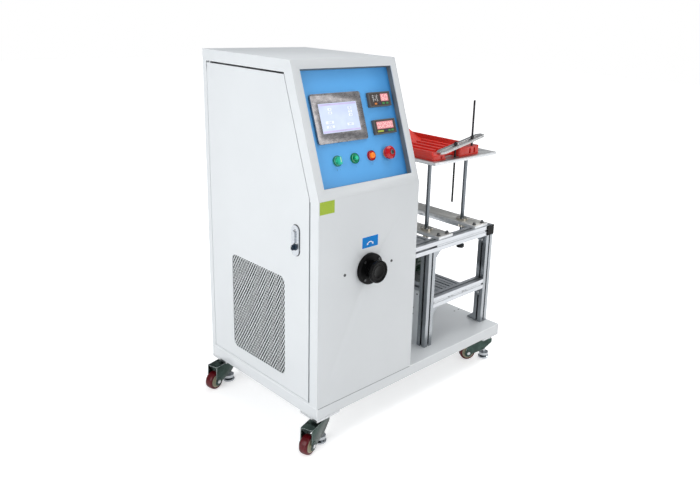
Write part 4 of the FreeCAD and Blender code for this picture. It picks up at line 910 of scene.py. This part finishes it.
def expanded_mesh(low, wide, tall, across, up, strand):
    """Diamonds of expanded metal in a flat border, from the window's low corner. Sizes in
    millimetres."""
    columns, rows = int(wide / (across / 2)), int(tall / (up / 2))
    step_y, step_z = wide / columns, tall / rows
    mesh = bmesh.new()
    points = {}

    def point(i, j):
        if (i, j) not in points:
            points[i, j] = mesh.verts.new(Vector((low.x + 0.2 * MM, low.y + i * step_y * MM,
                                                  low.z + j * step_z * MM)))
        return points[i, j]

    cells = [mesh.faces.new((point(i - 1, j), point(i, j + 1), point(i + 1, j), point(i, j - 1)))
             for i in range(1, columns) for j in range(1, rows) if (i + j) % 2]
    mesh.normal_update()
    bmesh.ops.inset_individual(mesh, faces=cells, thickness=strand / 2 * MM)
    bmesh.ops.delete(mesh, geom=cells, context="FACES_ONLY")
    solid = bmesh.ops.extrude_face_region(mesh, geom=mesh.faces[:])
    bmesh.ops.translate(mesh, verts=[v for v in solid["geom"] if isinstance(v, bmesh.types.BMVert)],
                        vec=Vector((1.0 * MM, 0, 0)))
    border = 7.0
    for y, z, w, h in ((wide / 2, border / 2, wide, border), (wide / 2, tall - border / 2, wide, border),
                       (border / 2, tall / 2, border, tall - 2 * border),
                       (wide - border / 2, tall / 2, border, tall - 2 * border)):
        slab(mesh, square_outline(w, h), Vector((low.x + 1.3 * MM, low.y + y * MM, low.z + z * MM)),
             -REAR_Y, UP_Z, 1.1)
    return mesh


def on_latch(rise, height=0.0, shift=0.0):
    """A point of the latch plate: rise over its middle, height out of its face, shift rearwards."""
    return at(LATCH_FACE - height, LATCH_Y + shift, LATCH_Z + rise)


def latch_parts(out):
    """The lock's ring, cap and key grip, and the latch's handle and gasket."""
    cover, cap, grip, handle, gasket = (bmesh.new() for _ in range(5))
    turned(cover, [(8.5, 0), (11.0, 0), (11.0, 1.2), (10.2, 2.0), (8.5, 2.0)], on_latch(-KEY_DROP), out, 40,
           True)
    piece("lock_ring", cover, "dark_blue_abs", "door")
    turned(cap, [(8.3, -1.5), (8.3, 0.3), (7.5, 0.9), (0, 1.0)], on_latch(-KEY_DROP, 2.0), out, 40)
    piece("lock_cap", cap, "dark_blue_abs", "latch")
    slab(grip, rounded_outline(10.6, 16.6, 3.0, 4), on_latch(-KEY_DROP, 8.7, 2.7), RIGHT_X, UP_Z, 5.4)
    piece("key_grip", grip, "dark_blue_abs", "latch")
    slab(handle, rounded_outline(11, 42, 5.4, 8), on_latch(HANDLE_RISE, 0.0, 2.0), -REAR_Y, UP_Z, 5.0, 1.2)
    piece("latch_handle", handle, "satin_chrome", "door")
    slab(gasket, rounded_outline(39.4, 103.4, 19.6, 12), at(0, LATCH_Y, LATCH_Z), -REAR_Y, UP_Z, 0.8)
    piece("latch_gasket", gasket, "black_rubber", "door")


class TESTER_OT_door(bpy.types.Operator):
    """Makes the door's mesh and the foam pad behind it, dark as painted shade, the latch's and lock's parts,
    and the strips in the gaps, the white ones painted light
    """

    bl_idname = "tester.door"
    bl_label = "Door mesh, latch and gaps"

    def execute(self, context):
        sizes = context.scene.tester_sizes
        across, up, strand = (v / MM for v in (sizes.mesh_across, sizes.mesh_up, sizes.mesh_strand))
        low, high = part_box("door_mesh")
        wide, tall = (high.y - low.y) / MM, (high.z - low.z) / MM
        mesh = expanded_mesh(low, wide, tall, across, up, strand)
        piece("door_mesh_expanded", mesh, "white_dipped_mesh", "door", ("door_mesh",))
        latch_parts(-RIGHT_X)
        strip, gap_lighteners, shade_pad, seal, screws = (bmesh.new() for _ in range(5))
        size, place = FRONT_GAP
        slab(strip, rounded_outline(*size, 0.4, 1), at(*place), -REAR_Y, UP_Z, 0.5)
        piece("door_gap_strip", strip, "grey_seam_and_painted_shade")
        # White strips in the rear and lower gaps: painted light over the gaps' shade.
        for size, place in (REAR_GAP, LOWER_GAP):
            slab(gap_lighteners, rounded_outline(*size, 0.3, 1), at(*place), -REAR_Y, UP_Z, 1.4)
        piece("door_gap_light_strips", gap_lighteners, "satin_powder_coat")
        # A dark foam pad behind the mesh: painted shade for the cabinet's inside.
        slab(shade_pad, rounded_outline(wide - 4, tall - 4, 20, 6),
             Vector((low.x + 6.0 * MM, (low.y + high.y) / 2, (low.z + high.z) / 2)), -REAR_Y, UP_Z, 4.0, 0.6)
        piece("door_pad_painted_shade", shade_pad, "foam_painted_shade", "door")
        low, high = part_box("door_sheet")
        middle = Vector(((low.x + high.x) / 2, (low.y + high.y) / 2 + 63 * MM, high.z + 6.0 * MM))
        slab(seal, rounded_outline((high.y - low.y) / MM - 130, 12.0, 0.4, 1), middle, REAR_Y, RIGHT_X, 1.6)
        piece("door_seal", seal, "black_rubber")
        button_screw(screws, on_latch(LATCH_SCREW_RISE), -RIGHT_X, 4.4, 1.6)
        piece("latch_screws", screws, "bright_zinc", "door")
        return {"FINISHED"}


def bracket_screws(shape, spot, along, upright):
    """The two screws of a corner bracket, one in each leg, from its inner corner."""
    for leg, out in ((along, upright), (upright, along)):
        button_screw(shape, spot + (leg * BRACKET_HOLE + out * BRACKET_SKIN) * MM, out, 5.2, 3.0)


class TESTER_OT_frame_fixings(bpy.types.Operator):
    """Sets the screws of the bearings, bearing plates, rails, brackets and caster pads"""

    bl_idname = "tester.frame_fixings"
    bl_label = "Frame fixings"

    def execute(self, context):
        sizes = context.scene.tester_sizes
        flange_head, plate_head = sizes.flange_screw / MM, sizes.plate_screw / MM
        bright, dark, wear_and_sheen = bmesh.new(), bmesh.new(), bmesh.new()
        for x in SHAFT_X:
            for y in SHAFT_Y:
                for turn in (45, 135, 225, 315):
                    a = math.radians(turn)
                    dx, dy = BEARING_CIRCLE * math.cos(a), BEARING_CIRCLE * math.sin(a)
                    socket_screw(bright, at(x + dx, y + dy, BEARING_TOP), UP_Z, flange_head, 3.4)
            for y in RAIL_Y:
                for shift in PLATE_SHIFTS:
                    foot = at(x + shift, y, PLATE_TOP)
                    turned(wear_and_sheen, [(8.4, 0.0), (8.4, 1.3), (plate_head, 1.3)], foot, UP_Z, 24)
                    socket_screw(wear_and_sheen, foot + UP_Z * 1.3 * MM, UP_Z, plate_head, 8.0)
        strip = bmesh.new()
        for z in RAIL_MIDDLES:
            slab(strip, square_outline(*COVER_SIZE), at(*COVER_MIDDLE, z), RIGHT_X, UP_Z, 1.0)
        piece("slot_covers", strip, "anodised_profile_y")
        for x in SHELF_SCREWS:
            button_screw(bright, at(x, RAIL_Y[0] - PROFILE_HALF, RAIL_MIDDLES[1]), -REAR_Y, 4.6, 3.0)
        for y, inward in ((RAIL_Y[0], REAR_Y), (RAIL_Y[1], -REAR_Y)):
            for x, along in zip(RAIL_ENDS, (RIGHT_X, -RIGHT_X)):
                for z in BRACKET_TOPS:
                    bracket_screws(bright, at(x, y, z), along, -UP_Z)
            for x in POST_X:
                for z, upward in ((BASE_TOP, UP_Z), (BRACKET_TOPS[0], -UP_Z)):
                    bracket_screws(bright, at(x, y, z) + inward * PROFILE_HALF * MM, inward, upward)
        for place in CASTERS:
            pad_x = PAD_CORNERS[0] if "right" in place else 0.0
            pad_y = PAD_CORNERS[1] if "rear" in place else 0.0
            for hole_x in PAD_HOLES_X:
                for hole_y in PAD_HOLES_Y:
                    hex_head(bright, at(pad_x + hole_x, pad_y + hole_y, PAD_BOTTOM), -UP_Z, 6.0, 3.6)
        for x, y in BASE_HOLES:
            turned(dark, [(3.2, 0.0), (3.2, 0.25), (0, 0.25)], at(x, y, BASE_TOP), UP_Z, 20)
        for y, z in SHEET_HOLES:
            turned(dark, [(3.4, 0.0), (3.4, 0.25), (0, 0.25)], at(SHEET_FACE, y, z), -RIGHT_X, 20)
        piece("frame_screws", bright, "bright_zinc")
        piece("plate_screws", wear_and_sheen, "worn_screw_steel")
        piece("spare_holes", dark, "dark_hole")
        return {"FINISHED"}


class TESTER_OT_cabinet_fixings(bpy.types.Operator):
    """Sets the screws of the rear cover and the mains inlet"""

    bl_idname = "tester.cabinet_fixings"
    bl_label = "Cabinet fixings"

    def execute(self, context):
        bright = bmesh.new()
        for columns, heights in (((14.0, 219.0, 424.0), (170.0, 1225.0)),
                                 ((14.0, 424.0), (430.0, 700.0, 965.0))):
            for x in columns:
                for z in heights:
                    button_screw(bright, at(x, REAR_FACE, z), REAR_Y, 4.4, 2.2)
        x, y, z = INLET_FACE
        for shift in INLET_SHIFTS:
            button_screw(bright, at(x + shift, y, z), REAR_Y, 2.6, 1.4)
        piece("rear_screws", bright, "bright_zinc")
        return {"FINISHED"}


def mirrored(profile):
    """A wheel's profile from one side to its middle, carried on to the other side."""
    return profile + [(radius, -height) for radius, height in reversed(profile)]


class TESTER_OT_casters(bpy.types.Operator):
    """Makes the crowned tyres, stepped hubs, axle caps, washers and race covers of the casters"""

    bl_idname = "tester.casters"
    bl_label = "Caster wheels"

    def execute(self, context):
        steps = 72
        for place, (x, y, turn) in CASTERS.items():
            a = math.radians(turn)
            ahead = Vector((math.cos(a), math.sin(a), 0))
            axle = Vector((-math.sin(a), math.cos(a), 0))
            centre = at(x, y, WHEEL_HEIGHT) + ahead * CASTER_TRAIL * MM
            tyre, hub, caps, washers, race = (bmesh.new() for _ in range(5))
            turned(tyre, mirrored([(24.2, -14.2), (27.0, -15.0), (30.0, -14.6), (31.6, -12.6), (32.6, -8.5),
                                   (33.0, -3.5), (33.0, -0.9), (32.4, -0.6)]), centre, axle, steps, True)
            turned(hub, mirrored([(4.1, -19.2), (8.4, -19.2), (9.0, -18.6), (9.0, -13.4), (10.5, -12.2),
                                  (19.0, -12.2), (20.6, -14.6), (24.1, -14.8)]), centre, axle, steps, True)
            piece("tyre_" + place, tyre, "cast_polyurethane", "wheel_" + place,
                  ("caster_wheel_" + place,), 50.0)
            piece("hub_" + place, hub, "moulded_nylon", "wheel_" + place)
            for side in (-1, 1):
                end = centre + axle * side * AXLE_HALF * MM
                turned(caps, [(7.2, 0.0), (7.2, 3.4), (6.0, 4.6), (0, 4.8)], end, axle * side, 32)
                turned(washers, [(16.2, 0.0), (16.2, 0.8), (15.4, 1.4), (0, 1.4)], end, axle * side, 32)
            piece("axle_caps_" + place, caps, "bright_zinc", "fork_" + place)
            piece("axle_washers_" + place, washers, "green_passivated_zinc", "fork_" + place)
            turned(race, [(16.5, 93.0), (22.6, 93.0), (22.6, 96.0), (20.8, 99.5), (20.8, 101.9),
                          (16.5, 101.9)], at(x, y, 0), UP_Z, 56, True)
            piece("race_cover_" + place, race, "bright_zinc")
        return {"FINISHED"}


def lay_floor(scene):
    """A pale floor that the camera and mirrors see as white."""
    floor = bmesh.new()
    reach = 14.0
    floor.faces.new([floor.verts.new(Vector((sx * reach, sy * reach, 0)))
                     for sx, sy in ((-1, -1), (1, -1), (1, 1), (-1, 1))])
    mesh = bpy.data.meshes.new("pale_floor")
    floor.to_mesh(mesh)
    floor.free()
    laid = bpy.data.objects.new("pale_floor", mesh)
    scene.collection.objects.link(laid)
    paint = grained("pale_floor_paint", linear("F4F4F4"), 0.6, 0.0, 3.0, 0.01, 400.0, 0.995)
    tree, surface, place = parts_of(paint)
    output = next(n for n in tree.nodes if n.type == "OUTPUT_MATERIAL")
    seen = add(tree, "ShaderNodeLightPath").outputs
    either = add(tree, "ShaderNodeMath", {0: seen["Is Camera Ray"], 1: seen["Is Glossy Ray"]},
                 operation="ADD", use_clamp=True)
    any_ray = add(tree, "ShaderNodeMath", {0: either.outputs[0], 1: seen["Is Transmission Ray"]},
                  operation="ADD", use_clamp=True)
    away = add(tree, "ShaderNodeVectorMath", {0: place}, operation="LENGTH").outputs["Value"]
    brighter = add(tree, "ShaderNodeMapRange", {"Value": away, "From Min": 0.8, "From Max": 3.5,
                                                "To Min": 0.5, "To Max": 1.0})
    glow = add(tree, "ShaderNodeEmission", {"Color": (1, 1, 1, 1), "Strength": brighter.outputs["Result"]})
    dark = add(tree, "ShaderNodeEmission", {"Color": (0, 0, 0, 1), "Strength": 0.0})
    shown = add(tree, "ShaderNodeMixShader", {0: any_ray.outputs[0], 1: dark.outputs[0], 2: glow.outputs[0]})
    both = add(tree, "ShaderNodeAddShader", {0: surface.outputs["BSDF"], 1: shown.outputs[0]})
    tree.links.new(both.outputs[0], output.inputs["Surface"])
    mesh.materials.append(paint)


def set_sky(scene):
    """A soft sky that the camera sees as white."""
    world = bpy.data.worlds.new("studio")
    world.use_nodes = True
    tree = world.node_tree
    tree.nodes.clear()
    seen = add(tree, "ShaderNodeLightPath").outputs
    either = add(tree, "ShaderNodeMath", {0: seen["Is Camera Ray"], 1: seen["Is Transmission Ray"]},
                 operation="ADD", use_clamp=True)
    soft = add(tree, "ShaderNodeBackground", {"Color": linear("E9EEF4"), "Strength": 0.32})
    white = add(tree, "ShaderNodeBackground", {"Color": (1, 1, 1, 1), "Strength": 1.0})
    mixed = add(tree, "ShaderNodeMixShader", {0: either.outputs[0], 1: soft.outputs[0], 2: white.outputs[0]})
    add(tree, "ShaderNodeOutputWorld", {"Surface": mixed.outputs[0]})
    scene.world = world


def hang_lamps(scene):
    """The soft lamps, each turned to the machine's middle."""
    middle = Vector((0, 0, 0.65))
    for name, place, size, power, tint in LAMPS:
        lamp = bpy.data.lights.new(name, "AREA")
        lamp.shape = "SQUARE"
        lamp.size = size
        lamp.energy = power
        lamp.color = tint
        made = bpy.data.objects.new(name, lamp)
        made.location = place
        made.rotation_euler = (middle - Vector(place)).to_track_quat("-Z", "Y").to_euler()
        scene.collection.objects.link(made)


def stand_camera(scene):
    """The camera at the photo's angle."""
    camera = bpy.data.cameras.new("photo_camera")
    camera.sensor_width = SENSOR_WIDTH
    camera.lens = SENSOR_WIDTH * LENS_PIXELS / PHOTO_WIDTH
    camera.shift_x = (PHOTO_WIDTH / 2 - LENS_CENTRE[0]) / PHOTO_WIDTH
    camera.shift_y = (LENS_CENTRE[1] - PHOTO_HEIGHT / 2) / PHOTO_WIDTH
    stood = bpy.data.objects.new("photo_camera", camera)
    right, down, ahead = camera_axes(*CAMERA_TURNS)
    stood.matrix_world = Matrix.Translation(at(*CAMERA_PLACE)) @ Matrix((
        (right.x, -down.x, -ahead.x, 0), (right.y, -down.y, -ahead.y, 0),
        (right.z, -down.z, -ahead.z, 0), (0, 0, 0, 1)))
    scene.collection.objects.link(stood)
    scene.camera = stood
    scene.view_settings.view_transform = "Standard"


def camera_axes(tilt, pan, roll):
    """The camera's right, down and ahead directions, from its angles in degrees."""
    turn = (Matrix.Rotation(math.radians(roll), 3, "Z") @ Matrix.Rotation(math.radians(tilt), 3, "X")
            @ Matrix.Rotation(math.radians(pan), 3, "Y"))
    rows = turn @ Matrix(((1, 0, 0), (0, 0, -1), (0, 1, 0)))
    return rows[0], rows[1], rows[2]


class TESTER_OT_stage(bpy.types.Operator):
    """Lays the pale floor, sets the soft lamps and the sky, and stands the camera"""

    bl_idname = "tester.stage"
    bl_label = "Floor, lamps and camera"

    def execute(self, context):
        lay_floor(context.scene)
        set_sky(context.scene)
        hang_lamps(context.scene)
        stand_camera(context.scene)
        return {"FINISHED"}


class TESTER_PT_parts(bpy.types.Panel):
    """Lists the machine's groups of pieces, its sizes and its colours"""

    bl_label = "Cord flexing tester"
    bl_idname = "TESTER_PT_parts"
    bl_space_type = "VIEW_3D"
    bl_region_type = "UI"
    bl_category = "Flexing tester"

    def draw(self, context):
        for operator in STEPS:
            self.layout.operator(operator.bl_idname)
        for group in (context.scene.tester_sizes, context.scene.tester_colours):
            box = self.layout.box()
            for name in group.__annotations__:
                box.prop(group, name)


STEPS = (
    TESTER_OT_finish_solids,
    TESTER_OT_stage,
    TESTER_OT_ease_sheets,
    TESTER_OT_screen,
    TESTER_OT_counters,
    TESTER_OT_switches,
    TESTER_OT_hand_knob,
    TESTER_OT_labels,
    TESTER_OT_door,
    TESTER_OT_frame_fixings,
    TESTER_OT_cabinet_fixings,
    TESTER_OT_casters,
)
CLASSES = (TesterColours, TesterSizes) + STEPS + (TESTER_PT_parts,)


def register():
    for kind in CLASSES:
        bpy.utils.register_class(kind)
    bpy.types.Scene.tester_colours = PointerProperty(type=TesterColours)
    bpy.types.Scene.tester_sizes = PointerProperty(type=TesterSizes)


def unregister():
    del bpy.types.Scene.tester_sizes
    del bpy.types.Scene.tester_colours
    for kind in reversed(CLASSES):
        bpy.utils.unregister_class(kind)


def main():
    register()
    for step in STEPS:
        group, name = step.bl_idname.split(".")
        result = getattr(getattr(bpy.ops, group), name)()
        if result != {"FINISHED"}:
            raise RuntimeError(step.bl_label + " did not finish")


if __name__ == "__main__":
    main()
